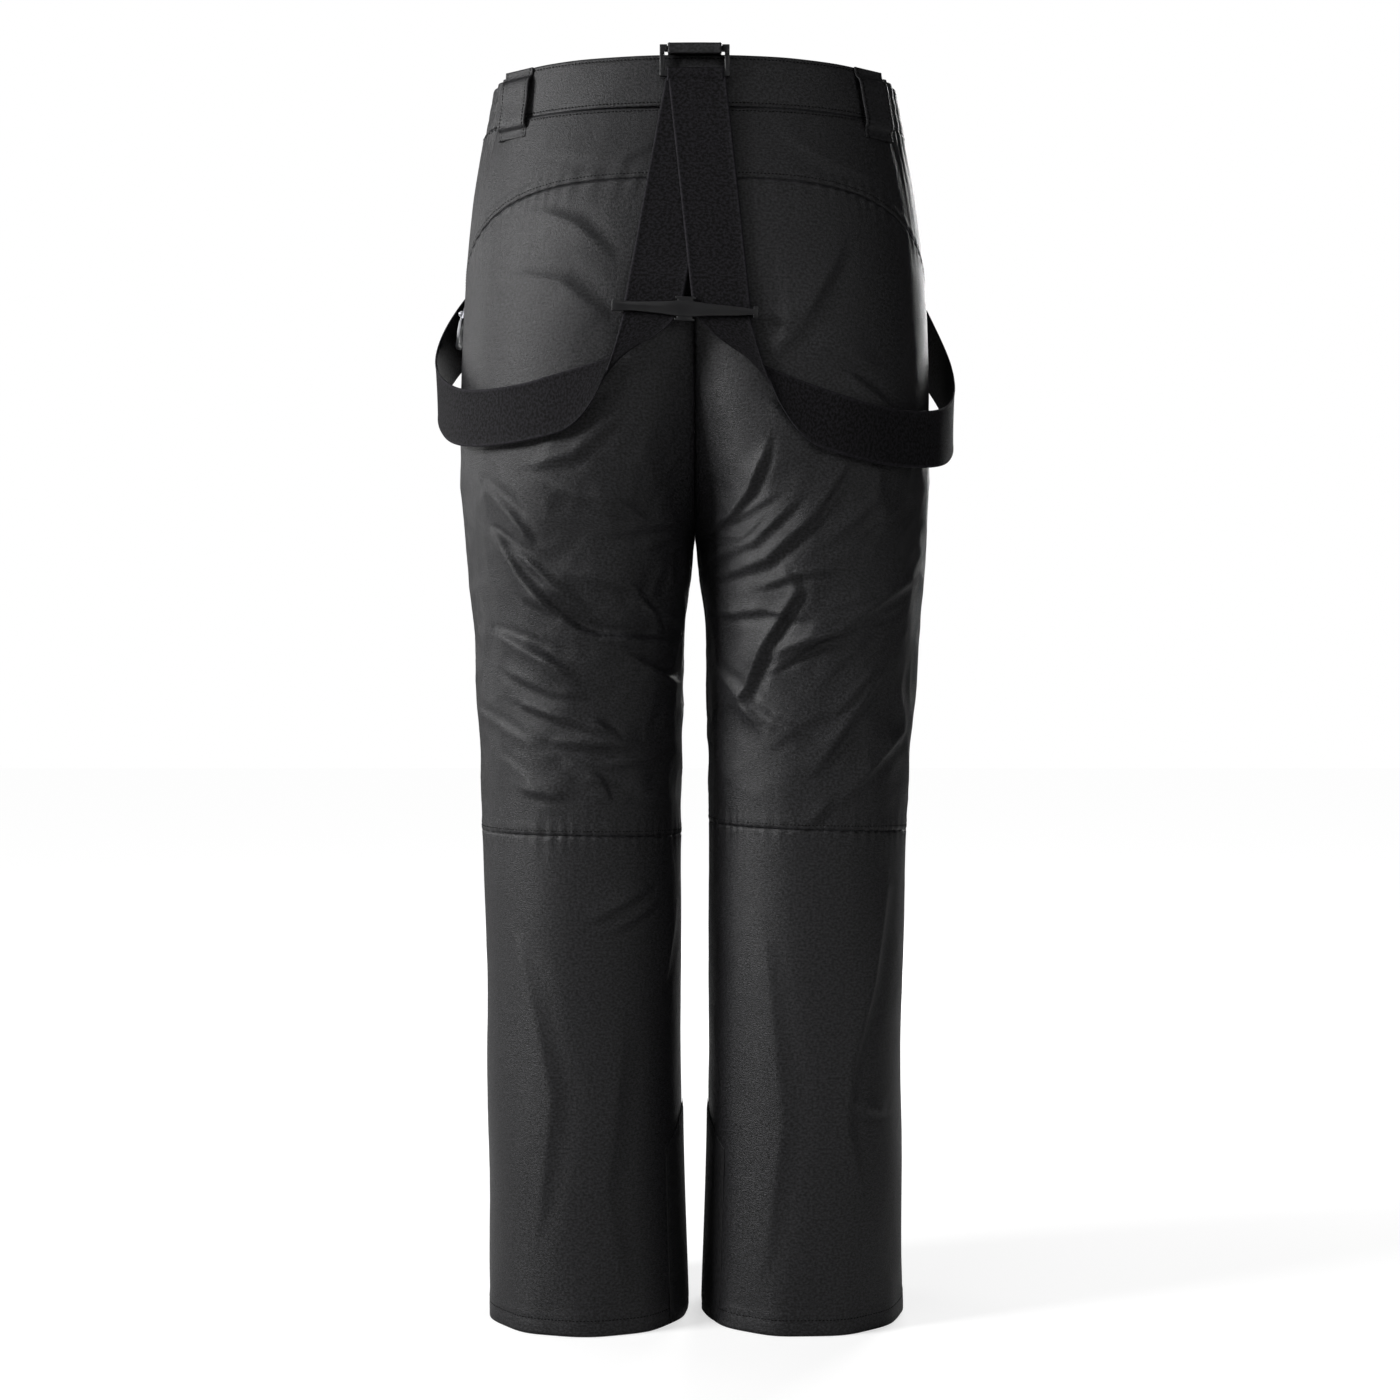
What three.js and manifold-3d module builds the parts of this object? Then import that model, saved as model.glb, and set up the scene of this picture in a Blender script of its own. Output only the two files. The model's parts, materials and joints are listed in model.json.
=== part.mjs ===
// Insulated ski pants with elastic braces, standing on their two hems.
// Millimetres, +Z up. The wearer faces -Y: the back is on +Y, the wearer's left on +X.
import * as THREE from "three";
import { mergeVertices } from "three/addons/utils/BufferGeometryUtils.js";
import Module from "manifold-3d";

const wasm = await Module();
wasm.setup();

// Heights above the floor
const waistTop = 1072;
const waistbandHeight = 44;
const crotchHeight = 676;
const kneeHeight = 422;
const yokeTop = waistTop - 105;
const yokeDrop = 80;

// Half widths of the whole garment, and the half gap between the legs
const waistHalf = 176;
const waistSeamHalf = 184;
const hipHalf = 206;
const kneeHalf = 187;
const hemHalf = 182;
const hemGapHalf = 6.5;
const shinGapHalf = 11.5;

// Depths from the side seam to the back and to the front
const waistBack = 114;
const seatBack = 131;
const hemBack = 96;
const kneeBack = 92;
const waistFront = 108;
const bellyFront = 111;
const kneeFront = 97;
const hemFront = 95;

// How far the middle of everything lies behind the side seams
const originShift = 9.9;

// Cloth
const roundness = 2.2;
const seamGap = 0.3;
const seamAngle = 0.0012;
const clothThick = 1.2;
const hemThick = 3;
const hemTurn = 18;
const waddingThick = 5;
const liningThick = 0.8;
const waistbandThick = 3;
const elasticBack = 1.05;
const elasticFront = 2.3;

// Snow gaiters
const gaiterTop = 205;
const gaiterThick = 0.8;
const gaiterTaper = 18;
const gripperHeight = 18;
const gripperFoot = 12;
const gripperThick = 3;

// Scuff guards
const guardTop = 150;
const guardSlant = 33;
const guardAngle = 0.62;
const guardThick = 1;

// Braces
const strapWide = 48;
const strapThick = 1.6;
const strapClearance = 1.4;
const strapLift = 2.2;
const plateHeight = 856;
const plateCentre = 8;
const plateHalf = 60;
const plateTall = 12;
const plateThick = 3;
const plateTip = 2;
const plateTab = 5;
const plateBarThick = 2;
const plateTravel = 6;
const platePost = 3;
const buckleWide = 58;
const buckleTall = 25;
const buckleBar = 4;
const buckleThick = 4;
const buckleRise = 5;
const barRoom = 1.2;
const hookWide = 58;
const hookTall = 26;
const hookBar = 4;
const hookThick = 3;
const hookAxisUp = 26;
const adjusterLong = 14;
const adjusterWall = 2.4;

// Belt loops and anchor loops
const loopWide = 30;
const frontLoopWide = 21;
const loopThick = 1.6;
const loopStandOff = 6.8;
const anchorStandOff = 5.5;
const loopOverhang = 17;
const backLoopAngle = 0.97;
const frontLoopX = 66;
const anchorX = 112;
const anchorWide = 38;
const anchorFootUp = 9;
const rearAnchorInside = 24;

// Front fastening and zips
const tabTall = 34;
const tabBase = 28;
const tabReach = 50;
const tabThick = 1.5;
const innerStudX = -16;
const outerStudX = -37;
const studRadius = 7;
const studThick = 1.6;
const chainWide = 8;
const chainThick = 2.2;
const flyLength = 150;
const placketWide = 34;
const placketThick = 1.4;
const placketLift = 1.2;
const pocketLow = 874;
const pocketHigh = 990;
const pocketLowAngle = 0.2;
const pocketHighAngle = 0.4;
const pocketStandOff = 4.4;
const sliderLong = 12;
const sliderWall = 1.6;
const pinRadius = 1.1;
const pinLift = 2.9;
const lugThick = 1.4;
const eyeWide = 5;
const eyeWall = 1.3;
const pullerLong = 30;
const pullerWide = 9;
const pullerThick = 3;
const runClearance = 0.4;

const waistSeam = waistTop - waistbandHeight;
const buckleTop = waistTop + buckleRise;
const clothGap = 0.4;

// A smooth curve through [height, value] stations, level past its ends.
function profile(stations) {
  const last = stations.length - 1;
  const slopes = stations.map((station, i) => {
    const before = stations[Math.max(i - 1, 0)];
    const after = stations[Math.min(i + 1, last)];
    return (after[1] - before[1]) / (after[0] - before[0]);
  });
  return (z) => {
    if (z <= stations[0][0]) return stations[0][1];
    if (z >= stations[last][0]) return stations[last][1];
    const i = stations.findIndex((station) => station[0] >= z) - 1;
    const [z0, v0] = stations[i];
    const [z1, v1] = stations[i + 1];
    const h = z1 - z0;
    const t = (z - z0) / h;
    const rise = t * t * (3 - 2 * t);
    const bend = slopes[i] * h * t * (1 - t) ** 2 + slopes[i + 1] * h * t * t * (t - 1);
    return v0 + (v1 - v0) * rise + bend;
  };
}

const hipHeight = crotchHeight + 74;
const outerHalf = profile([
  [0, hemHalf],
  [kneeHeight * 0.6, hemHalf + 0.5],
  [kneeHeight, kneeHalf],
  [crotchHeight - 76, (kneeHalf + hipHalf) / 2],
  [hipHeight, hipHalf],
  [yokeTop - yokeDrop, hipHalf - 3.5],
  [yokeTop, (hipHalf + waistSeamHalf) / 2],
  [waistSeam, waistSeamHalf],
  [waistTop, waistHalf],
]);
const gapHalf = profile([
  [0, hemGapHalf],
  [kneeHeight * 0.4, shinGapHalf],
  [kneeHeight + 60, shinGapHalf + 0.5],
  [crotchHeight - 76, shinGapHalf * 0.65],
  [crotchHeight, seamGap * 0.7],
]);
const backDepth = profile([
  [0, hemBack],
  [kneeHeight, kneeBack],
  [crotchHeight - 76, kneeBack + 8],
  [hipHeight, seatBack - 10],
  [yokeTop - yokeDrop - 30, seatBack],
  [yokeTop, seatBack - 5],
  [waistSeam, (seatBack + waistBack) / 2 - 3],
  [waistTop, waistBack],
]);
const frontDepth = profile([
  [0, hemFront],
  [kneeHeight, kneeFront],
  [crotchHeight - 76, kneeFront + 4],
  [hipHeight, bellyFront - 1],
  [yokeTop - yokeDrop, bellyFront],
  [waistSeam, bellyFront - 1],
  [waistTop, waistFront],
]);

// One half of the garment at a height: a squared oval that the middle seam cuts above the crotch.
function section(z) {
  const half = outerHalf(z);
  const share = Math.min(Math.max((z - crotchHeight) / (waistSeam - crotchHeight), 0), 1);
  const inner = z <= crotchHeight ? gapHalf(z) : -half * share ** 1.15;
  return {
    centre: (half + inner) / 2,
    wide: (half - inner) / 2,
    back: backDepth(z),
    front: frontDepth(z),
  };
}

const power = (v, p) => Math.sign(v) * Math.abs(v) ** p;

// A point of the cloth. side is 1 on the left; phi is 0 at the side seam, positive on the back.
function skin(side, z, phi, inset = 0) {
  const s = section(z);
  const deep = (Math.sin(phi) >= 0 ? s.back : s.front) - inset;
  const x = s.centre + (s.wide - inset) * power(Math.cos(phi), 2 / roundness);
  return new THREE.Vector3(side * x, deep * power(Math.sin(phi), 2 / roundness), z);
}

// The angle at which the cloth reaches the middle seam, or the inseam below the crotch.
function startAngle(z) {
  const s = section(z);
  const reach = Math.min((s.centre - seamGap / 2) / s.wide, 1);
  const angle = Math.acos(-(Math.max(reach, 0) ** (roundness / 2)));
  return Math.min(angle, Math.PI - seamAngle);
}

// Depth of the cloth at a place across the garment, on the back (1) or the front (-1).
function depthAt(x, z, face) {
  const s = section(z);
  const across = Math.min(Math.abs(Math.abs(x) - s.centre) / s.wide, 1);
  const deep = face > 0 ? s.back : s.front;
  return face * deep * (1 - across ** roundness) ** (1 / roundness);
}

// Angle around the waistband: 0 at the back, positive to the left, pi at the front.
function bandPoint(around, z, inset = 0) {
  const turn = around > Math.PI ? around - 2 * Math.PI : around;
  return skin(turn < 0 ? -1 : 1, z, Math.PI / 2 - Math.abs(turn), inset);
}

// Angle around the waistband of a place x on the front.
function frontAngle(x) {
  const turn = Math.asin((Math.abs(x) / waistHalf) ** (roundness / 2));
  return x < 0 ? Math.PI + turn : Math.PI - turn;
}

// A point off the body, seen from its middle line: degrees round from the back, left positive.
function offBody(degrees, z, standOff) {
  const angle = THREE.MathUtils.degToRad(degrees);
  const across = Math.sin(angle);
  const deep = Math.cos(angle);
  const s = section(z);
  const depth = deep >= 0 ? s.back : s.front;
  const outside = (r) =>
    Math.abs((Math.abs(r * across) - s.centre) / s.wide) ** roundness +
      Math.abs((r * deep) / depth) ** roundness >
    1;
  let low = 20;
  let high = 500;
  for (let i = 0; i < 40; i++) {
    const r = (low + high) / 2;
    if (outside(r)) high = r;
    else low = r;
  }
  return new THREE.Vector3((low + standOff) * across, (low + standOff) * deep, z);
}

// A closed solid between two grids of points; wrap joins the last column to the first.
function solidBetween(outer, inner, wrap = false) {
  const rows = outer.length;
  const columns = outer[0].length;
  const positions = [];
  const tri = (a, b, c) => positions.push(...a.toArray(), ...b.toArray(), ...c.toArray());
  const quad = (a, b, c, d) => {
    tri(a, b, c);
    tri(a, c, d);
  };
  const spans = wrap ? columns : columns - 1;
  for (let i = 0; i < rows - 1; i++) {
    for (let j = 0; j < spans; j++) {
      const k = (j + 1) % columns;
      quad(outer[i][j], outer[i][k], outer[i + 1][k], outer[i + 1][j]);
      quad(inner[i][j], inner[i + 1][j], inner[i + 1][k], inner[i][k]);
    }
  }
  for (let j = 0; j < spans; j++) {
    const k = (j + 1) % columns;
    const top = rows - 1;
    quad(outer[0][j], inner[0][j], inner[0][k], outer[0][k]);
    quad(outer[top][j], outer[top][k], inner[top][k], inner[top][j]);
  }
  if (!wrap) {
    const end = columns - 1;
    for (let i = 0; i < rows - 1; i++) {
      quad(outer[i][0], outer[i + 1][0], inner[i + 1][0], inner[i][0]);
      quad(outer[i][end], inner[i][end], inner[i + 1][end], outer[i + 1][end]);
    }
  }
  const geometry = new THREE.BufferGeometry();
  geometry.setAttribute("position", new THREE.Float32BufferAttribute(positions, 3));
  return facingOut(geometry);
}

// Turns a closed geometry's faces outwards if its volume comes out negative.
function facingOut(geometry) {
  const p = geometry.getAttribute("position");
  const a = new THREE.Vector3();
  const b = new THREE.Vector3();
  const c = new THREE.Vector3();
  let volume = 0;
  for (let i = 0; i < p.count; i += 3) {
    a.fromBufferAttribute(p, i);
    b.fromBufferAttribute(p, i + 1);
    c.fromBufferAttribute(p, i + 2);
    volume += a.dot(b.cross(c));
  }
  if (volume < 0) {
    for (let i = 0; i < p.count; i += 3) {
      b.fromBufferAttribute(p, i + 1);
      c.fromBufferAttribute(p, i + 2);
      p.setXYZ(i + 1, c.x, c.y, c.z);
      p.setXYZ(i + 2, b.x, b.y, b.z);
    }
  }
  geometry.computeVertexNormals();
  return geometry;
}

const material = (color, roughness, metalness = 0) =>
  new THREE.MeshStandardMaterial({ color, roughness, metalness });
const shellCloth = () => material(0x2e2e31, 0.6);
const guardCloth = () => material(0x17171a, 0.75);
const linerCloth = () => material(0x3a3b3f, 0.8);
const waddingFill = () => material(0xdad9d4, 0.95);
const elasticCloth = () => material(0x18181b, 0.9);
const webbing = () => material(0x44444a, 0.8);
const blackPlastic = () => material(0x111113, 0.4);
const palePlastic = () => material(0xa9abae, 0.45);
const zipMetal = () => material(0x55575b, 0.35, 0.9);

const sides = [
  [1, "left"],
  [-1, "right"],
];
const pants = new THREE.Group();
pants.name = "ski_pants";

function add(name, geometry, look, parent = pants) {
  const mesh = new THREE.Mesh(geometry, look);
  mesh.name = name;
  parent.add(mesh);
  return mesh;
}

// Row heights of the cloth, shared by every layer so that their facets lie side by side.
const columnCount = 8;
const yokeLine = (u) => yokeTop - yokeDrop * u ** 3;
const level = (z) => () => z;
const between = (low, high, share) => (u) => low(u) + (high(u) - low(u)) * share;
const seatRow = level(hipHeight + 10);
const rows = [
  level(0),
  level(hemTurn),
  level(hemTurn + 4),
  level(kneeHeight * 0.3),
  level(kneeHeight * 0.65),
  level(kneeHeight),
  level((kneeHeight + crotchHeight) / 2),
  level(crotchHeight - 30),
  level(crotchHeight),
  level(crotchHeight + 12),
  level(crotchHeight + 38),
  seatRow,
  between(seatRow, yokeLine, 0.5),
  yokeLine,
  between(yokeLine, level(waistSeam), 0.5),
  level(waistSeam),
];
const hemRows = [0, 1];
const kneeRow = 5;
const yokeRow = 13;
const waistRow = rows.length - 1;
const liningRow = 2;

// Columns of the back half from the middle to the side seam, or of the front half onwards.
function halfColumns(face, edge = seamAngle) {
  const columns = Array.from({ length: columnCount + 1 }, (_, j) => {
    const u = j / columnCount;
    return { u, face, angle: (z) => face * (startAngle(z) * (1 - u) + edge * u) };
  });
  return face > 0 ? columns : columns.reverse();
}

// A layer of cloth over the given rows and columns, between two depths below the surface.
function layer(side, from, to, columns, outset, insetAt) {
  const grid = (inset) =>
    rows.slice(from, to + 1).map((row, i) => {
      const trim = i === 0 && from > 0 ? seamGap / 2 : i === to - from ? -seamGap / 2 : 0;
      return columns.map(({ u, face, angle }) => {
        const z = row(face > 0 ? u : 1) + trim;
        return skin(side, z, angle(z), inset(from + i));
      });
    });
  return solidBetween(grid(() => outset), grid(insetAt));
}

function addShell(side, name) {
  const back = halfColumns(1);
  const front = halfColumns(-1);
  const wall = (row) => (hemRows.includes(row) ? hemThick : clothThick);
  const panel = (title, from, to, columns) =>
    add(`${title}_${name}`, layer(side, from, to, columns, 0, wall), shellCloth());
  panel("yoke", yokeRow, waistRow, back);
  panel("seat_panel", kneeRow, yokeRow, back);
  panel("front_panel", kneeRow, waistRow, front);
  panel("calf_panel", 0, kneeRow, back);
  panel("shin_panel", 0, kneeRow, front);
}

// Wadding and lining run once round the leg, from the back middle seam to the front one.
function addInnerLayers(side, name) {
  const round = [...halfColumns(1, 0), ...halfColumns(-1, 0).slice(1)];
  const waddingDepth = clothThick + seamGap;
  const liningDepth = waddingDepth + waddingThick + seamGap;
  const ring = (depth, thick) =>
    layer(side, liningRow, waistRow, round, depth, () => depth + thick);
  add(`wadding_${name}`, ring(waddingDepth, waddingThick), waddingFill());
  add(`lining_${name}`, ring(liningDepth, liningThick), linerCloth());
}

// A closed tube round one leg through [height, depth below the surface, wall] rings.
function legTube(side, rings) {
  const turn = Array.from({ length: columnCount * 2 }, (_, j) => Math.PI * (1 - j / columnCount));
  const grid = (extra) =>
    rings.map(([z, depth, wall]) => turn.map((phi) => skin(side, z, phi, depth + wall * extra)));
  return solidBetween(grid(0), grid(1), true);
}

function addGaiter(side, name) {
  const topDepth = clothThick + waddingThick + liningThick + seamGap * 2 + clothGap + 0.2;
  const footDepth = topDepth + gaiterTaper;
  const foot = gripperFoot + gripperHeight;
  const sleeve = legTube(side, [
    [foot + seamGap, footDepth, gaiterThick],
    [foot + 30, footDepth, gaiterThick],
    [gaiterTop - 30, topDepth, gaiterThick],
    [gaiterTop, topDepth, gaiterThick],
  ]);
  add(`gaiter_${name}`, sleeve, linerCloth());
  const gripper = legTube(side, [
    [gripperFoot, footDepth, gripperThick],
    [foot, footDepth, gripperThick],
  ]);
  add(`gaiter_elastic_${name}`, gripper, elasticCloth());
}

// The scuff guard wraps the inseam from back to front, its top rising towards the inseam.
function addScuffGuard(side, name) {
  const step = Math.PI / columnCount;
  const angles = [-guardAngle, -step, 0, step, guardAngle];
  const heights = [level(clothGap), level(hemTurn), level(hemTurn + 4), level(kneeHeight * 0.3)];
  heights.push((turn) => guardTop + guardSlant * (1 - Math.abs(turn) / guardAngle));
  const grid = (inset) =>
    heights.map((row) => angles.map((turn) => skin(side, row(turn), Math.PI - turn, inset)));
  const guard = solidBetween(grid(-clothGap - guardThick), grid(-clothGap));
  add(`scuff_guard_${name}`, guard, guardCloth());
}

// A strip of the waistband between two angles around the waist.
function band(from, to, low, high, outset, inset, steps) {
  const angles = Array.from({ length: steps + 1 }, (_, i) => from + ((to - from) * i) / steps);
  const grid = (depth) => [low, high].map((z) => angles.map((a) => bandPoint(a, z, depth)));
  return solidBetween(grid(outset), grid(inset));
}

function addWaistband() {
  const bandGap = 0.002;
  const low = waistSeam + seamGap / 2;
  const piece = (name, from, to, steps) => {
    const strip = band(from + bandGap, to - bandGap, low, waistTop, 0, waistbandThick, steps);
    add(name, strip, shellCloth());
  };
  piece("waistband_back", -elasticBack, elasticBack, 12);
  piece("elastic_side_left", elasticBack, elasticFront, 8);
  piece("elastic_side_right", -elasticFront, -elasticBack, 8);
  piece("waistband_front_left", elasticFront, Math.PI, 6);
  piece("waistband_front_right", -Math.PI, -elasticFront, 6);
}

// A strip outline of even thickness along a bent line of [outward, up] points.
function stripOutline(line, thick) {
  const points = line.map(([outward, up]) => new THREE.Vector2(outward, up));
  const last = points.length - 1;
  const miters = points.map((p, i) => {
    const inward = p.clone().sub(points[Math.max(i - 1, 0)]).normalize();
    const onward = points[Math.min(i + 1, last)].clone().sub(p).normalize();
    const along = inward.clone().add(onward).normalize();
    const edge = i === 0 ? onward : inward;
    const slant = Math.max(along.dot(edge), 0.5);
    return new THREE.Vector2(-along.y, along.x).multiplyScalar(thick / 2 / slant);
  });
  const side = (sign) => points.map((p, i) => p.clone().addScaledVector(miters[i], sign));
  return new THREE.Shape([...side(1), ...side(-1).reverse()]);
}

// Extrudes an [outward, up] outline sideways, centred: local +Y faces outwards, +Z up.
function standingExtrusion(shape, wide) {
  const geometry = new THREE.ExtrudeGeometry(shape, { depth: wide, bevelEnabled: false });
  geometry.translate(0, 0, -wide / 2);
  geometry.rotateX(Math.PI / 2);
  return geometry.rotateZ(Math.PI / 2);
}

// Extrudes an [across, up] outline through its thickness, centred on local Y.
function facingExtrusion(shape, thick) {
  const geometry = new THREE.ExtrudeGeometry(shape, { depth: thick, bevelEnabled: false });
  geometry.translate(0, 0, -thick / 2);
  return geometry.rotateX(Math.PI / 2);
}

// Extrudes an [across, outward] outline along local Z, centred.
function runningExtrusion(shape, long) {
  const geometry = new THREE.ExtrudeGeometry(shape, { depth: long, bevelEnabled: false });
  return geometry.translate(0, 0, -long / 2);
}

function outline(points) {
  return new THREE.Shape(points.map(([a, b]) => new THREE.Vector2(a, b)));
}

function rectangle(wide, tall) {
  const a = wide / 2;
  const b = tall / 2;
  return outline([
    [-a, -b],
    [a, -b],
    [a, b],
    [-a, b],
  ]);
}

function frameOutline(wide, tall, sideBar, crossBar) {
  const shape = rectangle(wide, tall);
  const hole = rectangle(wide - 2 * sideBar, tall - 2 * crossBar).getPoints().reverse();
  shape.holes.push(new THREE.Path(hole));
  return shape;
}

// Joins overlapping closed geometries into one.
function join(geometries) {
  const solids = geometries.map((geometry) => {
    const bare = new THREE.BufferGeometry();
    const flat = geometry.index ? geometry.toNonIndexed() : geometry;
    bare.setAttribute("position", flat.getAttribute("position"));
    const merged = mergeVertices(bare, 1e-4);
    return new wasm.Manifold(
      new wasm.Mesh({
        numProp: 3,
        vertProperties: merged.getAttribute("position").array,
        triVerts: new Uint32Array(merged.index.array),
      }),
    );
  });
  const mesh = solids.reduce((sum, solid) => sum.add(solid)).getMesh();
  const geometry = new THREE.BufferGeometry();
  geometry.setAttribute("position", new THREE.BufferAttribute(mesh.vertProperties, 3));
  geometry.setIndex(new THREE.BufferAttribute(mesh.triVerts, 1));
  return geometry.toNonIndexed();
}

// Stands a mesh at a point with its local Z along one direction and its local Y outwards.
function stand(mesh, point, along, outward) {
  const up = along.clone().normalize();
  const sideways = new THREE.Vector3().crossVectors(outward, up).normalize();
  const out = new THREE.Vector3().crossVectors(up, sideways);
  mesh.quaternion.setFromRotationMatrix(new THREE.Matrix4().makeBasis(sideways, out, up));
  mesh.position.copy(point);
  return mesh;
}

// The level direction straight out of the body there.
function outOfBody(degrees, z) {
  const step = offBody(degrees + 2, z, 0).sub(offBody(degrees - 2, z, 0));
  return new THREE.Vector3(-step.y, step.x, 0).normalize();
}

// The waist's own frame at an angle: a point of the cloth, outwards, and up along the cloth.
function waistFrame(around, z) {
  const point = bandPoint(around, z);
  const along = bandPoint(around + 0.01, z).sub(bandPoint(around - 0.01, z)).normalize();
  const outward = new THREE.Vector3(along.y, -along.x, 0);
  if (outward.dot(point) < 0) outward.negate();
  const up = bandPoint(around, waistTop).sub(bandPoint(around, waistSeam));
  up.addScaledVector(along, -up.dot(along)).normalize();
  return { point, outward, up };
}

// A belt loop or anchor loop: sewn flat at both ends, standing off between them.
function addLoop(name, around, wide, top, bottom, standOff) {
  const foot = 7;
  const rise = 4;
  const loopSeat = clothGap + loopThick / 2;
  const loopBow = loopSeat + standOff;
  const { point, outward } = waistFrame(around, top);
  const clothOut = (z) => bandPoint(around, z).sub(point).dot(outward);
  const line = [
    [top, loopSeat],
    [top - foot, loopSeat],
    [top - foot - rise, loopBow],
    [bottom + foot + rise, loopBow],
    [bottom + foot, loopSeat],
    [bottom, loopSeat],
  ].map(([z, out]) => [out + clothOut(z), z]);
  const mesh = add(name, standingExtrusion(stripOutline(line, loopThick), wide), shellCloth());
  stand(mesh, new THREE.Vector3(point.x, point.y, 0), new THREE.Vector3(0, 0, 1), outward);
}

function addBeltLoops() {
  const top = waistTop - 0.5;
  const bottom = waistSeam - loopOverhang;
  for (const [side, name] of sides) {
    const front = frontAngle(side * frontLoopX);
    addLoop(`belt_loop_back_${name}`, side * backLoopAngle, loopWide, top, bottom, loopStandOff);
    addLoop(`belt_loop_front_${name}`, front, frontLoopWide, top, bottom, loopStandOff);
  }
}

// A flat band swept along points that faces the given outward directions.
// Level bands are cut level at both ends.
function ribbon(points, outwards, wide, thick, isLevel = false) {
  const curve = new THREE.CatmullRomCurve3(points, false, "centripetal");
  const faces = new THREE.CatmullRomCurve3(outwards, false, "centripetal");
  const steps = (points.length - 1) * 3;
  const outer = [];
  const inner = [];
  for (let i = 0; i <= steps; i++) {
    const t = i / steps;
    const at = curve.getPoint(t);
    const along = curve.getTangent(t);
    const across = new THREE.Vector3().crossVectors(along, faces.getPoint(t)).normalize();
    if (isLevel) across.setZ(0).normalize();
    const face = new THREE.Vector3().crossVectors(across, along).normalize();
    const corner = (sideways, up) =>
      at
        .clone()
        .addScaledVector(across, (sideways * wide) / 2)
        .addScaledVector(face, (up * thick) / 2);
    outer.push([corner(1, 1), corner(-1, 1)]);
    inner.push([corner(1, -1), corner(-1, -1)]);
  }
  return solidBetween(outer, inner);
}

// The rear buckle hangs just outside the waistband's top edge by its upper bar.
const buckleY = waistBack + clothGap * 2 + loopThick + buckleThick / 2 + 1;
const strapTopZ = buckleTop - buckleTall - clothGap;
const strapFootZ = plateHeight - plateTall / 2 - plateTravel - 3;
const strapPlateLeft = 35;
const strapPlateRight = -22.5;

// How far out the cloth stands anywhere under a strap.
function clothUnder(x, z) {
  const shares = [-0.5, -0.25, 0, 0.25, 0.5];
  return Math.max(...shares.map((share) => depthAt(x + share * strapWide, z, 1)));
}

const plateLow = strapFootZ - 2;
const plateHigh = plateHeight + plateTall / 2 + plateTravel + 4;
const underPlate = [plateLow, plateHigh].flatMap((z) =>
  [strapPlateLeft, strapPlateRight].map((x) => clothUnder(x, z)),
);
const plateLayer = Math.max(...underPlate) + strapClearance + platePost + strapThick / 2;

// A back strap hangs from the buckle and runs through the cross plate.
function addBackStrap(name, topX, plateX, lift) {
  const apart = plateHigh + 22;
  const free = [52, 87, 122].map((drop) => waistTop - drop);
  const heights = [strapTopZ, ...free, apart, plateHigh, plateHeight, strapFootZ];
  const points = heights.map((z) => {
    const share = (strapTopZ - z) / (strapTopZ - plateHeight);
    const x = topX + (plateX - topX) * share;
    if (z <= plateHigh) return new THREE.Vector3(x, plateLayer, z);
    const rest = clothUnder(x, z) + strapClearance + strapThick / 2;
    const hang = buckleY + (plateLayer - buckleY) * share;
    return new THREE.Vector3(x, Math.max(rest, hang) + lift, z);
  });
  const outwards = points.map(() => new THREE.Vector3(0, 1, 0));
  add(name, ribbon(points, outwards, strapWide, strapThick, true), elasticCloth());
}

function addRearBuckle() {
  const shape = frameOutline(buckleWide, buckleTall, buckleBar, buckleBar);
  const buckle = add("rear_buckle", facingExtrusion(shape, buckleThick), blackPlastic());
  buckle.position.set(0, buckleY, buckleTop - buckleTall / 2);
}

// The anchor loop comes up inside the waistband, over its edge and over the buckle's bar.
function addRearAnchor() {
  const wide = buckleWide - 2 * buckleBar - 4;
  const inside = waistBack - waistbandThick - clothGap * 2 - loopThick;
  const over = waistTop + clothGap + loopThick / 2;
  const reach = buckleThick / 2 + barRoom + loopThick / 2;
  const crown = buckleTop + barRoom + loopThick / 2;
  const line = [
    [inside, waistTop - rearAnchorInside],
    [inside, over],
    [buckleY - reach, over],
    [buckleY - reach, crown],
    [buckleY + reach, crown],
    [buckleY + reach, buckleTop - buckleBar - 2],
  ];
  add("rear_anchor_loop", standingExtrusion(stripOutline(line, loopThick), wide), webbing());
}

// The cross plate: a slim diamond in front of the straps and a bar behind them.
function addCrossPlate() {
  const half = plateTall / 2;
  const diamond = outline([
    [-plateHalf, -plateTip],
    [-plateTab - 3, -half],
    [-plateTab, -half - 5],
    [plateTab, -half - 5],
    [plateTab + 3, -half],
    [plateHalf, -plateTip],
    [plateHalf, plateTip],
    [plateTab + 3, half],
    [plateTab, half + 4],
    [-plateTab, half + 4],
    [-plateTab - 3, half],
    [-plateHalf, plateTip],
  ]);
  const room = strapThick / 2 + runClearance;
  const front = facingExtrusion(diamond, plateThick).translate(0, room + plateThick / 2, 0);
  const backBar = facingExtrusion(rectangle(2 * plateHalf, 2 * plateTip), plateBarThick);
  backBar.translate(0, -room - plateBarThick / 2, 0);
  const postDeep = 2 * room + 1;
  const post = (x, wide) =>
    facingExtrusion(rectangle(wide, 2 * plateTip), postDeep).translate(x, 0, 0);
  const ends = plateHalf - platePost / 2;
  const posts = [post(-ends, platePost), post(ends, platePost), post(-1.5, platePost)];
  const plate = add("cross_plate", join([front, backBar, ...posts]), blackPlastic());
  plate.position.set(plateCentre, plateLayer, plateHeight);
}

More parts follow.
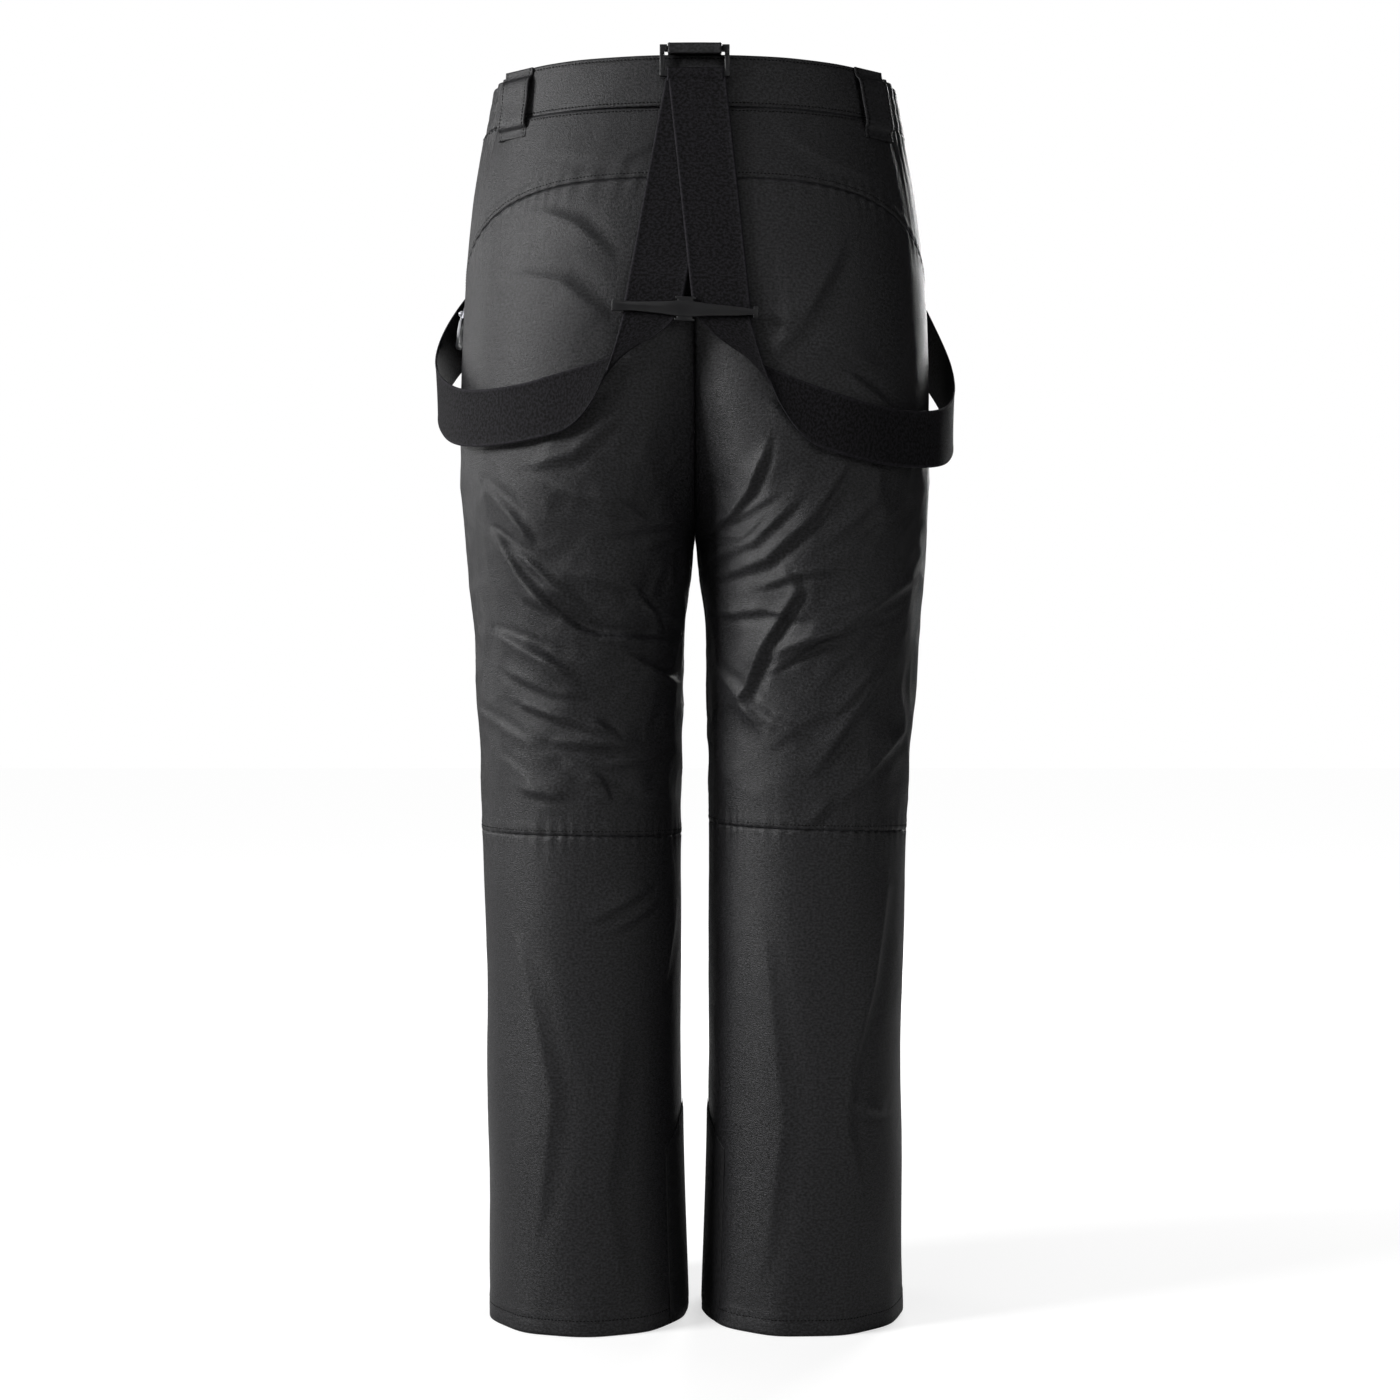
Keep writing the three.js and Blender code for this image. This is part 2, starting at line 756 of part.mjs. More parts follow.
// A side strap runs from under the cross plate round the hip and up to the front hook.
// Each stop is degrees round from the back, height, and how far it stands off the cloth.
const adjusterLow = [118, 930, 9];
const adjusterHigh = [127, 1000, 9];
const sideStops = {
  left: [
    [16, strapFootZ - 4, 5],
    [21, 822, 4],
    [28, 803, 4],
    [37, 787, 4],
    [46, 777, 5],
    [57, 772, 7],
    [69, 775, 10],
    [79, 787, 15],
    [88, 808, 21],
    [97, 838, 21],
    [105, 872, 16],
    [111, 901, 10],
  ],
  right: [
    [9, strapFootZ - 4, 5],
    [15, 817, 4],
    [24, 794, 4],
    [34, 776, 4],
    [45, 763, 5],
    [56, 755, 8],
    [68, 756, 14],
    [79, 766, 18],
    [88, 785, 21],
    [97, 816, 21],
    [105, 856, 17],
    [111, 896, 12],
  ],
};

function addSideStrap(side, name) {
  const place = ([degrees, z, off]) => offBody(side * degrees, z, off);
  const facing = ([degrees, z]) => outOfBody(side * degrees, z);
  const { point, outward, up } = waistFrame(frontAngle(side * anchorX), waistSeam + hookAxisUp);
  const below = (drop) =>
    point.clone().addScaledVector(outward, anchorStandOff / 2).addScaledVector(up, -drop);
  const low = place(adjusterLow);
  const high = place(adjusterHigh);
  const middle = low.clone().add(high).multiplyScalar(0.5);
  const flat = facing(adjusterLow).add(facing(adjusterHigh)).normalize();
  const end = hookTall - hookBar / 2 + clothGap;
  const stops = sideStops[name];
  const points = [...stops.map(place), low, middle, high, below(end + 8), below(end)];
  const outwards = [...stops.map(facing), flat, flat, flat, outward, outward];
  outwards[0] = new THREE.Vector3(0, 1, 0);
  const strap = ribbon(points, outwards, strapWide, strapThick);
  add(`side_strap_${name}`, strap, elasticCloth());
  addAdjuster(name, middle, high.clone().sub(low), flat);
  addHook(side, name, point, outward, up);
}

// The adjuster is a sleeve that slides on the straight stretch of the side strap.
function addAdjuster(name, middle, along, outward) {
  const slotWide = strapWide + 2 * runClearance + 2;
  const slotDeep = strapThick + 2 * runClearance + 1;
  const wide = slotWide + 2 * adjusterWall;
  const sleeve = frameOutline(wide, slotDeep + 2 * adjusterWall, adjusterWall, adjusterWall);
  const sleeveGeometry = runningExtrusion(sleeve, adjusterLong);
  const mesh = add(`strap_adjuster_${name}`, sleeveGeometry, blackPlastic());
  stand(mesh, middle, along, outward);
}

// The front hook turns on its upper bar inside the anchor loop.
function addHook(side, name, point, outward, up) {
  const shape = frameOutline(hookWide, hookTall, hookBar, hookBar);
  const geometry = facingExtrusion(shape, hookThick).translate(0, 0, hookBar / 2 - hookTall / 2);
  const hook = add(`front_hook_${name}`, geometry, blackPlastic());
  stand(hook, point.clone().addScaledVector(outward, anchorStandOff / 2), up, outward);
  const around = frontAngle(side * anchorX);
  const top = waistTop - 1.5;
  const bottom = waistSeam + anchorFootUp;
  addLoop(`front_anchor_loop_${name}`, around, anchorWide, top, bottom, anchorStandOff);
}

// The waist tab crosses the front over two press studs.
function addWaistTab() {
  const middle = waistSeam + waistbandHeight / 2;
  const lift = clothGap * 2 + studThick;
  const from = frontAngle(tabBase);
  const to = frontAngle(-tabReach);
  const low = middle - tabTall / 2;
  const high = middle + tabTall / 2;
  add("waist_tab", band(from, to, low, high, -lift - tabThick, -lift, 6), shellCloth());
  for (const [name, x] of [
    ["inner", innerStudX],
    ["outer", outerStudX],
  ]) {
    const { point, outward } = waistFrame(frontAngle(x), middle);
    const disc = (radius, thick) =>
      new THREE.CylinderGeometry(radius, radius, thick, 16).translate(0, thick / 2, 0);
    const up = new THREE.Vector3(0, 0, 1);
    const post = add(`stud_post_${name}`, disc(studRadius - 2, studThick - clothGap), zipMetal());
    stand(post, point.clone().addScaledVector(outward, clothGap), up, outward);
    const cap = add(`stud_cap_${name}`, disc(studRadius, studThick), zipMetal());
    const capLift = lift + tabThick + clothGap;
    stand(cap, point.clone().addScaledVector(outward, capLift), up, outward);
  }
}

// A zip slider: a saddle over the chain, with two lugs and a pin that may be turned to lie level.
function sliderGeometry(swivel) {
  const inner = chainWide / 2 + runClearance;
  const roof = chainThick / 2 + runClearance;
  const saddle = outline([
    [-inner - sliderWall, -chainThick / 2],
    [-inner, -chainThick / 2],
    [-inner, roof],
    [inner, roof],
    [inner, -chainThick / 2],
    [inner + sliderWall, -chainThick / 2],
    [inner + sliderWall, roof + sliderWall],
    [-inner - sliderWall, roof + sliderWall],
  ]);
  const pinY = roof + sliderWall + pinLift;
  const lugX = eyeWide / 2 + runClearance + lugThick / 2;
  const lugDeep = pinLift + pinRadius + 1.2;
  const lugY = roof + sliderWall + lugDeep / 2 - 0.2;
  const lug = (x) => facingExtrusion(rectangle(lugThick, 4), lugDeep).translate(x, lugY, 0);
  const pin = new THREE.CylinderGeometry(pinRadius, pinRadius, 2 * lugX, 10);
  pin.rotateZ(Math.PI / 2).translate(0, pinY, 0);
  const top = [lug(-lugX), lug(lugX), pin].map((piece) => piece.rotateY(swivel));
  return join([runningExtrusion(saddle, sliderLong), ...top]);
}

// A puller: an eye round the slider's pin and a flat tab that hangs from it.
function pullerGeometry() {
  const hole = pinRadius + runClearance - 0.05;
  const eye = new THREE.Shape().absarc(0, 0, hole + eyeWall, 0, 2 * Math.PI);
  eye.holes.push(new THREE.Path().absarc(0, 0, hole, 0, 2 * Math.PI, true));
  const ring = new THREE.ExtrudeGeometry(eye, {
    depth: eyeWide,
    bevelEnabled: false,
    curveSegments: 7,
  });
  ring.translate(0, 0, -eyeWide / 2).rotateY(Math.PI / 2);
  const neckLong = 3;
  const neck = facingExtrusion(rectangle(eyeWide - 0.4, neckLong), 2);
  neck.translate(0, 0, -hole - 0.6 - neckLong / 2);
  const long = pullerLong - hole - neckLong;
  const a = pullerWide / 2;
  const tab = outline([
    [-a * 0.7, 0],
    [-a, -long * 0.3],
    [-a, -long + 2],
    [-a + 2, -long],
    [a - 2, -long],
    [a, -long + 2],
    [a, -long * 0.3],
    [a * 0.7, 0],
  ]);
  const plate = facingExtrusion(tab, pullerThick).translate(0, 0, -hole - neckLong);
  return join([ring, neck, plate]);
}

// A zip from one point to another: chain, slider at a share of its length, and puller.
function addZip(name, low, high, outward, share) {
  const along = high.clone().sub(low).normalize();
  const long = high.distanceTo(low);
  const out = outward.clone().addScaledVector(along, -outward.dot(along)).normalize();
  const chain = runningExtrusion(rectangle(chainWide, chainThick), long);
  const middle = low.clone().add(high).multiplyScalar(0.5);
  stand(add(`${name}_chain`, chain, blackPlastic()), middle, along, out);
  const up = new THREE.Vector3(0, 0, 1);
  up.addScaledVector(out, -up.dot(out)).normalize();
  const sideways = new THREE.Vector3().crossVectors(out, along);
  const swivel = Math.atan2(up.dot(sideways), up.dot(along));
  const reach = sliderLong / 2 + 1;
  const at = low.clone().addScaledVector(along, reach + (long - 2 * reach) * share);
  stand(add(`${name}_slider`, sliderGeometry(swivel), zipMetal()), at, along, out);
  const pinY = chainThick / 2 + runClearance + sliderWall + pinLift;
  const pin = at.clone().addScaledVector(out, pinY);
  stand(add(`${name}_puller`, pullerGeometry(), palePlastic()), pin, up, out);
}

function addFly() {
  const top = waistSeam - 4;
  const foot = top - flyLength;
  const samples = Array.from({ length: 9 }, (_, i) => foot + (flyLength * i) / 8);
  const face = Math.min(...samples.map((z) => depthAt(chainWide / 2, z, -1)));
  const y = face - clothGap - chainThick / 2;
  const low = new THREE.Vector3(0, y, foot);
  addZip("fly", low, new THREE.Vector3(0, y, top), new THREE.Vector3(0, -1, 0), 1);
  const near = chainWide / 2 + runClearance * 2 + sliderWall + 1;
  const grid = (off) =>
    samples.map((z, i) =>
      [0, 0.33, 0.66, 1].map((share) => {
        const x = near + placketWide * Math.min(1, 0.45 + i / 4) * share;
        return new THREE.Vector3(x, depthAt(x, z, -1) - off, z);
      }),
    );
  const inner = clothGap + placketLift;
  add("fly_placket", solidBetween(grid(inner + placketThick), grid(inner)), shellCloth());
}

// A hand pocket zip slants up and forward from the side seam.
function addPocketZip(side, name, share) {
  const low = skin(side, pocketLow, -pocketLowAngle, -pocketStandOff);
  const high = skin(side, pocketHigh, -pocketHighAngle, -pocketStandOff);
  const middle = low.clone().add(high).multiplyScalar(0.5);
  const outward = new THREE.Vector3(middle.x, middle.y * 1.5, 0).normalize();
  addZip(`pocket_${name}`, low, high, outward, share);
}

for (const [side, name] of sides) {
  addShell(side, name);
  addInnerLayers(side, name);
  addGaiter(side, name);
  addScuffGuard(side, name);
  addSideStrap(side, name);
}
addWaistband();
addBeltLoops();
addRearBuckle();
addRearAnchor();
addBackStrap("back_strap_left", 0, strapPlateLeft, 0);
addBackStrap("back_strap_right", -2, strapPlateRight, strapLift);
addCrossPlate();
addWaistTab();
addFly();
addPocketZip(1, "left", 0);
addPocketZip(-1, "right", 1);

// The origin is on the floor, under the middle of everything including the braces.
pants.position.y = -originShift;

export default pants;
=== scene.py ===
import json
import math
import bmesh
import bpy
import numpy as np
from mathutils import Matrix, Vector

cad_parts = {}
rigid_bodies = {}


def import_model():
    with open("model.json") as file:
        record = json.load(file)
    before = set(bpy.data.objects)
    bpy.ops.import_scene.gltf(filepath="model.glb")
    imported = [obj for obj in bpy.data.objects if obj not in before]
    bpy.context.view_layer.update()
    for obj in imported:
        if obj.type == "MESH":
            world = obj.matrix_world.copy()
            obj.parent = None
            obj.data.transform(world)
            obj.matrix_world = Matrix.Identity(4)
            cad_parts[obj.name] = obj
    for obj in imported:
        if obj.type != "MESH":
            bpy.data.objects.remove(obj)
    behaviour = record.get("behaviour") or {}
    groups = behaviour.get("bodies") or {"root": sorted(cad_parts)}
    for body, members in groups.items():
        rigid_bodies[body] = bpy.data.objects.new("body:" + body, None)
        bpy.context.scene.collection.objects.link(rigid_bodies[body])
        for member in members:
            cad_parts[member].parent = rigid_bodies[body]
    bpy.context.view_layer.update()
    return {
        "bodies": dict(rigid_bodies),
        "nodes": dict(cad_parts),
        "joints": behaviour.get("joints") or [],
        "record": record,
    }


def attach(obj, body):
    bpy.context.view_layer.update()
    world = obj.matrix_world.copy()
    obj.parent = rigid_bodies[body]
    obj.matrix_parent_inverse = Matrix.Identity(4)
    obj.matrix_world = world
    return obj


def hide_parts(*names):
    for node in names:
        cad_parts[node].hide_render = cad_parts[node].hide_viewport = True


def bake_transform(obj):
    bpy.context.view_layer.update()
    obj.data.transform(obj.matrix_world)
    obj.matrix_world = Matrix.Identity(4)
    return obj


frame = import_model()
scene = bpy.context.scene


# ---- camera, floor and light
cameraSetup = dict(place=(-0.0044, 1.8901, 0.535), lens=55.2)
cameraData = bpy.data.cameras.new("camera")
cameraData.lens = cameraSetup["lens"]
camera = bpy.data.objects.new("camera", cameraData)
camera.location = cameraSetup["place"]
camera.rotation_euler = (math.radians(90), 0, math.radians(180))
scene.collection.objects.link(camera)
scene.camera = camera

studio = dict(
    skyLight=0.03,
    skyShown=1.0,
    floorColor=(0.4, 0.4, 0.4, 1),
    floorShown=(0.62, 0.97),
    shownReach=(0.5, 3.0),
    floorSize=30,
    floorHeight=-0.0006,
    floorRough=0.9,
    aim=(0, 0, 0.55),
    lights=[
        dict(name="keyLight", place=(2.3, 0.95, 1.65), size=0.8, power=100),
        dict(name="topLight", place=(1.0, 1.3, 2.8), size=1.3, power=12),
        dict(name="fillLight", place=(-1.6, 2.2, 1.5), size=1.2, power=15),
        dict(name="frontLight", place=(-0.9, -2.6, 1.8), size=1.6, power=85),
        dict(name="frontFill", place=(2.4, -1.7, 1.3), size=1.5, power=18),
    ],
)


def makeStudio():
    bpy.ops.object.select_all(action="DESELECT")
    bpy.ops.mesh.primitive_plane_add(size=studio["floorSize"], location=(0, 0, studio["floorHeight"]))
    floor = bpy.context.object
    floor.name = "floor"
    floorPaint = bpy.data.materials.new("floorPaint")
    floorPaint.use_nodes = True
    shader = floorPaint.node_tree.nodes["Principled BSDF"]
    shader.inputs["Base Color"].default_value = studio["floorColor"]
    shader.inputs["Roughness"].default_value = studio["floorRough"]
    shader.inputs["Emission Color"].default_value = (1, 1, 1, 1)
    tree = floorPaint.node_tree
    place = tree.nodes.new("ShaderNodeTexCoord")
    distance = tree.nodes.new("ShaderNodeVectorMath")
    distance.operation = "LENGTH"
    # the lamps fade with distance, so the far floor is lifted, for the camera only
    shown = tree.nodes.new("ShaderNodeMapRange")
    shown.interpolation_type = "SMOOTHSTEP"
    shown.inputs["From Min"].default_value, shown.inputs["From Max"].default_value = studio["shownReach"]
    shown.inputs["To Min"].default_value, shown.inputs["To Max"].default_value = studio["floorShown"]
    seen = tree.nodes.new("ShaderNodeLightPath")
    lift = tree.nodes.new("ShaderNodeMath")
    lift.operation = "MULTIPLY"
    tree.links.new(place.outputs["Object"], distance.inputs[0])
    tree.links.new(distance.outputs["Value"], shown.inputs["Value"])
    tree.links.new(shown.outputs["Result"], lift.inputs[0])
    tree.links.new(seen.outputs["Is Camera Ray"], lift.inputs[1])
    tree.links.new(lift.outputs["Value"], shader.inputs["Emission Strength"])
    floor.data.materials.append(floorPaint)
    world = bpy.data.worlds.new("studioSky")
    world.use_nodes = True
    tree = world.node_tree
    sky = tree.nodes["Background"]
    sky.inputs["Color"].default_value = (1, 1, 1, 1)
    seen = tree.nodes.new("ShaderNodeLightPath")
    strength = tree.nodes.new("ShaderNodeMapRange")
    strength.inputs["To Min"].default_value = studio["skyLight"]
    strength.inputs["To Max"].default_value = studio["skyShown"]
    tree.links.new(seen.outputs["Is Camera Ray"], strength.inputs["Value"])
    tree.links.new(strength.outputs["Result"], sky.inputs["Strength"])
    scene.world = world
    for setup in studio["lights"]:
        lamp = bpy.data.lights.new(setup["name"], "AREA")
        lamp.size = setup["size"]
        lamp.energy = setup["power"]
        holder = bpy.data.objects.new(setup["name"], lamp)
        holder.location = setup["place"]
        aim = Vector(studio["aim"]) - Vector(setup["place"])
        holder.rotation_euler = aim.to_track_quat("-Z", "Y").to_euler()
        scene.collection.objects.link(holder)
    scene.view_settings.view_transform = "Standard"
    print("studio ready")


makeStudio()


# ---- finishes: cloth patterns follow each piece's own "weave" map, which is in metres
def newFinish(name, color, rough, **sockets):
    finish = bpy.data.materials.new(name)
    finish.use_nodes = True
    shader = finish.node_tree.nodes["Principled BSDF"]
    shader.inputs["Base Color"].default_value = (*color, 1)
    shader.inputs["Roughness"].default_value = rough
    for socket, value in sockets.items():
        shader.inputs[socket.replace("_", " ")].default_value = value
    return finish, finish.node_tree, shader


def addNode(tree, kind, **settings):
    node = tree.nodes.new(kind)
    for key, value in settings.items():
        if key in node.inputs:
            node.inputs[key].default_value = value
        else:
            setattr(node, key, value)
    return node


def stretchedNoise(tree, source, across, along, seed, detail=2):
    # grain whose cells are across and along metres long
    scaled = addNode(tree, "ShaderNodeMapping", Scale=(1 / across, 1 / along, 1 / across))
    scaled.inputs["Location"].default_value = (seed * 7.3, seed * 3.1, seed)
    grain = addNode(tree, "ShaderNodeTexNoise", Scale=1.0, Detail=detail, Roughness=0.55)
    tree.links.new(source, scaled.inputs["Vector"])
    tree.links.new(scaled.outputs["Vector"], grain.inputs["Vector"])
    return grain.outputs["Fac"]


def combine(tree, operation, first, second):
    node = addNode(tree, "ShaderNodeMath", operation=operation)
    for socket, value in zip(node.inputs, (first, second)):
        if isinstance(value, (int, float)):
            socket.default_value = value
        else:
            tree.links.new(value, socket)
    return node.outputs[0]


def weighted(tree, *parts):
    # the sum of several signals, each times its weight
    total = None
    for signal, weight in parts:
        part = combine(tree, "MULTIPLY", signal, weight)
        total = part if total is None else combine(tree, "ADD", total, part)
    return total


def tint(tree, shader, factor, dark, light):
    blend = addNode(tree, "ShaderNodeMix", data_type="RGBA")
    blend.inputs["A"].default_value = (*dark, 1)
    blend.inputs["B"].default_value = (*light, 1)
    tree.links.new(factor, blend.inputs["Factor"])
    tree.links.new(blend.outputs["Result"], shader.inputs["Base Color"])


def raiseBy(tree, shader, height, distance, strength):
    bump = addNode(tree, "ShaderNodeBump", Strength=strength, Distance=distance)
    tree.links.new(height, bump.inputs["Height"])
    tree.links.new(bump.outputs["Normal"], shader.inputs["Normal"])


def waveAlong(tree, source, axis, pitch, distortion=0.0):
    wave = addNode(tree, "ShaderNodeTexWave", bands_direction=axis, Distortion=distortion)
    wave.inputs["Scale"].default_value = 1 / (pitch * 3.1831)  # Blender's wave repeats every 2 pi / 20
    tree.links.new(source, wave.inputs["Vector"])
    return wave.outputs["Fac"]


def remapRough(tree, shader, factor, low, high):
    mapped = addNode(tree, "ShaderNodeMapRange")
    mapped.inputs["To Min"].default_value = low
    mapped.inputs["To Max"].default_value = high
    tree.links.new(factor, mapped.inputs["Value"])
    tree.links.new(mapped.outputs["Result"], shader.inputs["Roughness"])


def spread(tree, value, low=0.4, high=0.6):
    # opens the narrow middle range of a noise out to 0..1
    node = addNode(tree, "ShaderNodeMapRange")
    node.inputs["From Min"].default_value, node.inputs["From Max"].default_value = low, high
    tree.links.new(value, node.inputs["Value"])
    return node.outputs["Result"]


def wovenCloth(name, dark, light, rough, thread, relief, sheen, specular=0.5):
    finish, tree, shader = newFinish(
        name, light, rough, Sheen_Weight=sheen, Sheen_Roughness=0.4, Specular_IOR_Level=specular
    )
    weave = addNode(tree, "ShaderNodeUVMap", uv_map="weave").outputs["UV"]
    place = addNode(tree, "ShaderNodeTexCoord").outputs["Object"]
    weft = stretchedNoise(tree, weave, thread * 8, thread, 1)
    warp = stretchedNoise(tree, weave, thread, thread * 8, 2)
    slubs = stretchedNoise(tree, weave, thread * 2.3, thread * 1.6, 3, 3)
    rows = combine(tree, "MULTIPLY", waveAlong(tree, weave, "X", thread), waveAlong(tree, weave, "Y", thread))
    grain = weighted(tree, (weft, 0.55), (warp, 0.45))
    threads = weighted(tree, (grain, 1.0), (rows, 0.25), (slubs, 1.9))
    cloud = stretchedNoise(tree, place, 0.09, 0.09, 4, 3)
    fleck = stretchedNoise(tree, weave, thread * 4, thread * 3.2, 6, 2)
    shade = spread(tree, weighted(tree, (grain, 0.3), (fleck, 0.7)))
    tint(tree, shader, shade, dark, light)
    remapRough(tree, shader, cloud, rough - 0.05, rough + 0.07)
    raiseBy(tree, shader, threads, relief, 0.75)
    return finish


def stretchWebbing(name, dark, light, rough, rib, relief, halfWide):
    # ribs run across the band; the woven cords along both edges are a little lighter
    finish, tree, shader = newFinish(name, light, rough, Specular_IOR_Level=0.14)
    weave = addNode(tree, "ShaderNodeUVMap", uv_map="weave").outputs["UV"]
    ribs = waveAlong(tree, weave, "Y", rib, 1.2)
    cells = stretchedNoise(tree, weave, rib * 1.5, rib * 1.0, 1, 2)
    pile = combine(tree, "MULTIPLY", weighted(tree, (ribs, 0.6), (cells, 3.2)), 0.4)
    split = addNode(tree, "ShaderNodeSeparateXYZ")
    tree.links.new(weave, split.inputs["Vector"])
    fromMiddle = combine(tree, "DIVIDE", combine(tree, "ABSOLUTE", split.outputs["X"], 0), halfWide)
    edge = addNode(tree, "ShaderNodeMapRange", interpolation_type="SMOOTHSTEP")
    edge.inputs["From Min"].default_value = 0.86
    edge.inputs["From Max"].default_value = 0.97
    tree.links.new(fromMiddle, edge.inputs["Value"])
    fleck = spread(tree, stretchedNoise(tree, weave, rib * 2.4, rib * 1.9, 6, 2))
    tint(tree, shader, weighted(tree, (fleck, 0.7), (edge.outputs["Result"], 0.45)), dark, light)
    raiseBy(tree, shader, pile, relief, 0.9)
    return finish


def mouldedPlastic(name, dark, light, rough, relief=0.00006):
    finish, tree, shader = newFinish(name, light, rough)
    place = addNode(tree, "ShaderNodeTexCoord").outputs["Object"]
    grain = stretchedNoise(tree, place, 0.0006, 0.0006, 1, 3)
    wear = stretchedNoise(tree, place, 0.012, 0.012, 2, 4)
    tint(tree, shader, wear, dark, light)
    remapRough(tree, shader, wear, rough - 0.06, rough + 0.1)
    raiseBy(tree, shader, grain, relief, 0.6)
    return finish


def satinMetal(name, dark, light, rough):
    finish, tree, shader = newFinish(name, light, rough, Metallic=1.0)
    place = addNode(tree, "ShaderNodeTexCoord").outputs["Object"]
    wear = stretchedNoise(tree, place, 0.004, 0.004, 1, 4)
    brush = stretchedNoise(tree, place, 0.0003, 0.004, 2, 2)
    tint(tree, shader, wear, dark, light)
    remapRough(tree, shader, brush, rough - 0.08, rough + 0.12)
    raiseBy(tree, shader, brush, 0.00003, 0.5)
    return finish


# thread and rib are the cloth's own pitch and relief its height, in metres
shellCloth = wovenCloth(
    "shellCloth", dark=(0.0002, 0.0002, 0.0002), light=(0.0185, 0.0182, 0.0205), rough=0.45,
    thread=0.0006, relief=0.00034, sheen=0.0, specular=0.34,
)
guardCloth = wovenCloth(
    "guardCloth", dark=(0.004, 0.004, 0.0045), light=(0.012, 0.012, 0.013), rough=0.6,
    thread=0.001, relief=0.0003, sheen=0.0, specular=0.25,
)
linerCloth = wovenCloth(
    "linerCloth", dark=(0.02, 0.02, 0.023), light=(0.036, 0.036, 0.04), rough=0.5,
    thread=0.0004, relief=0.00008, sheen=0.1,
)
# the stitch thread is nearly black: partly the thread's own dark colour, partly painted shade that stands for
# the shadowed stitch holes
stitchThreadPaintedShade = wovenCloth(
    "stitchThreadPaintedShade", dark=(0.0005, 0.0005, 0.0005), light=(0.002, 0.002, 0.0022), rough=0.7,
    thread=0.0003, relief=0.0001, sheen=0.0, specular=0.1,
)
braceElastic = stretchWebbing(
    "braceElastic", dark=(0.0002, 0.0002, 0.0003), light=(0.0135, 0.0125, 0.0155), rough=0.75,
    rib=0.0011, relief=0.0004, halfWide=0.024,
)
gripElastic = stretchWebbing(
    "gripElastic", dark=(0.004, 0.004, 0.0045), light=(0.016, 0.016, 0.017), rough=0.7,
    rib=0.0018, relief=0.0005, halfWide=1.0,
)
blackPlastic = mouldedPlastic(
    "blackPlastic", dark=(0.004, 0.004, 0.0045), light=(0.011, 0.011, 0.012), rough=0.38
)
greyPlastic = mouldedPlastic(
    "greyPlastic", dark=(0.17, 0.175, 0.185), light=(0.27, 0.275, 0.29), rough=0.45
)
zipCoil = mouldedPlastic(
    "zipCoil", dark=(0.006, 0.006, 0.0065), light=(0.015, 0.015, 0.016), rough=0.42
)
darkMetal = satinMetal("darkMetal", dark=(0.05, 0.05, 0.055), light=(0.11, 0.11, 0.12), rough=0.35)
print("finishes ready")


# ---- the garment's shape, in millimetres, with the side seams at depth 0
def profile(stations):
    z = np.array([s[0] for s in stations], float)
    v = np.array([s[1] for s in stations], float)
    last = len(z) - 1
    before = np.maximum(np.arange(last + 1) - 1, 0)
    after = np.minimum(np.arange(last + 1) + 1, last)
    slopes = (v[after] - v[before]) / (z[after] - z[before])

    def at(height):
        height = np.clip(np.asarray(height, float), z[0], z[-1])
        i = np.clip(np.searchsorted(z, height, side="left") - 1, 0, last - 1)
        h = z[i + 1] - z[i]
        t = (height - z[i]) / h
        rise = t * t * (3 - 2 * t)
        bend = slopes[i] * h * t * (1 - t) ** 2 + slopes[i + 1] * h * t * t * (t - 1)
        return v[i] + (v[i + 1] - v[i]) * rise + bend

    return at


pants = dict(
    waistTop=1072.0, waistSeam=1028.0, crotch=676.0, knee=422.0, yokeTop=967.0, yokeDrop=80.0,
    hip=750.0, waistHalf=176.0, seamHalf=184.0, hipHalf=206.0, kneeHalf=187.0, hemHalf=182.0,
    hemGap=6.5, shinGap=11.5, roundness=2.2, depthShift=-9.9, sewn=0.05,
)
p = pants
outerHalf = profile([
    (0, p["hemHalf"]), (p["knee"] * 0.6, p["hemHalf"] + 0.5), (p["knee"], p["kneeHalf"]),
    (p["crotch"] - 76, (p["kneeHalf"] + p["hipHalf"]) / 2), (p["hip"], p["hipHalf"]),
    (p["yokeTop"] - p["yokeDrop"], p["hipHalf"] - 3.5), (p["yokeTop"], (p["hipHalf"] + p["seamHalf"]) / 2),
    (p["waistSeam"], p["seamHalf"]), (p["waistTop"], p["waistHalf"]),
])
gapHalf = profile([
    (0, p["hemGap"]), (p["knee"] * 0.4, p["shinGap"]), (p["knee"] + 60, p["shinGap"] + 0.5),
    (p["crotch"] - 76, p["shinGap"] * 0.65), (p["crotch"], 0.21),
])
backDepth = profile([
    (0, 96), (p["knee"], 92), (p["crotch"] - 76, 100), (p["hip"], 121),
    (p["yokeTop"] - p["yokeDrop"] - 30, 131), (p["yokeTop"], 126), (p["waistSeam"], 119.5),
    (p["waistTop"], 114),
])
frontDepth = profile([
    (0, 95), (p["knee"], 97), (p["crotch"] - 76, 101), (p["hip"], 110),
    (p["yokeTop"] - p["yokeDrop"], 111), (p["waistSeam"], 110), (p["waistTop"], 108),
])


def section(z):
    z = np.asarray(z, float)
    half = outerHalf(z)
    share = np.clip((z - p["crotch"]) / (p["waistSeam"] - p["crotch"]), 0, 1)
    inner = np.where(z <= p["crotch"], gapHalf(z), -half * share ** 1.15)
    return (half + inner) / 2, (half - inner) / 2, backDepth(z), frontDepth(z)


def signedPower(value, power):
    return np.sign(value) * np.abs(value) ** power


def skin(side, z, phi, inset=0.0):
    centre, wide, back, front = section(z)
    deep = np.where(np.sin(phi) >= 0, back, front) - inset
    x = centre + (wide - inset) * signedPower(np.cos(phi), 2 / p["roundness"])
    y = deep * signedPower(np.sin(phi), 2 / p["roundness"])
    return np.stack(np.broadcast_arrays(side * x, y, np.asarray(z, float)), -1)


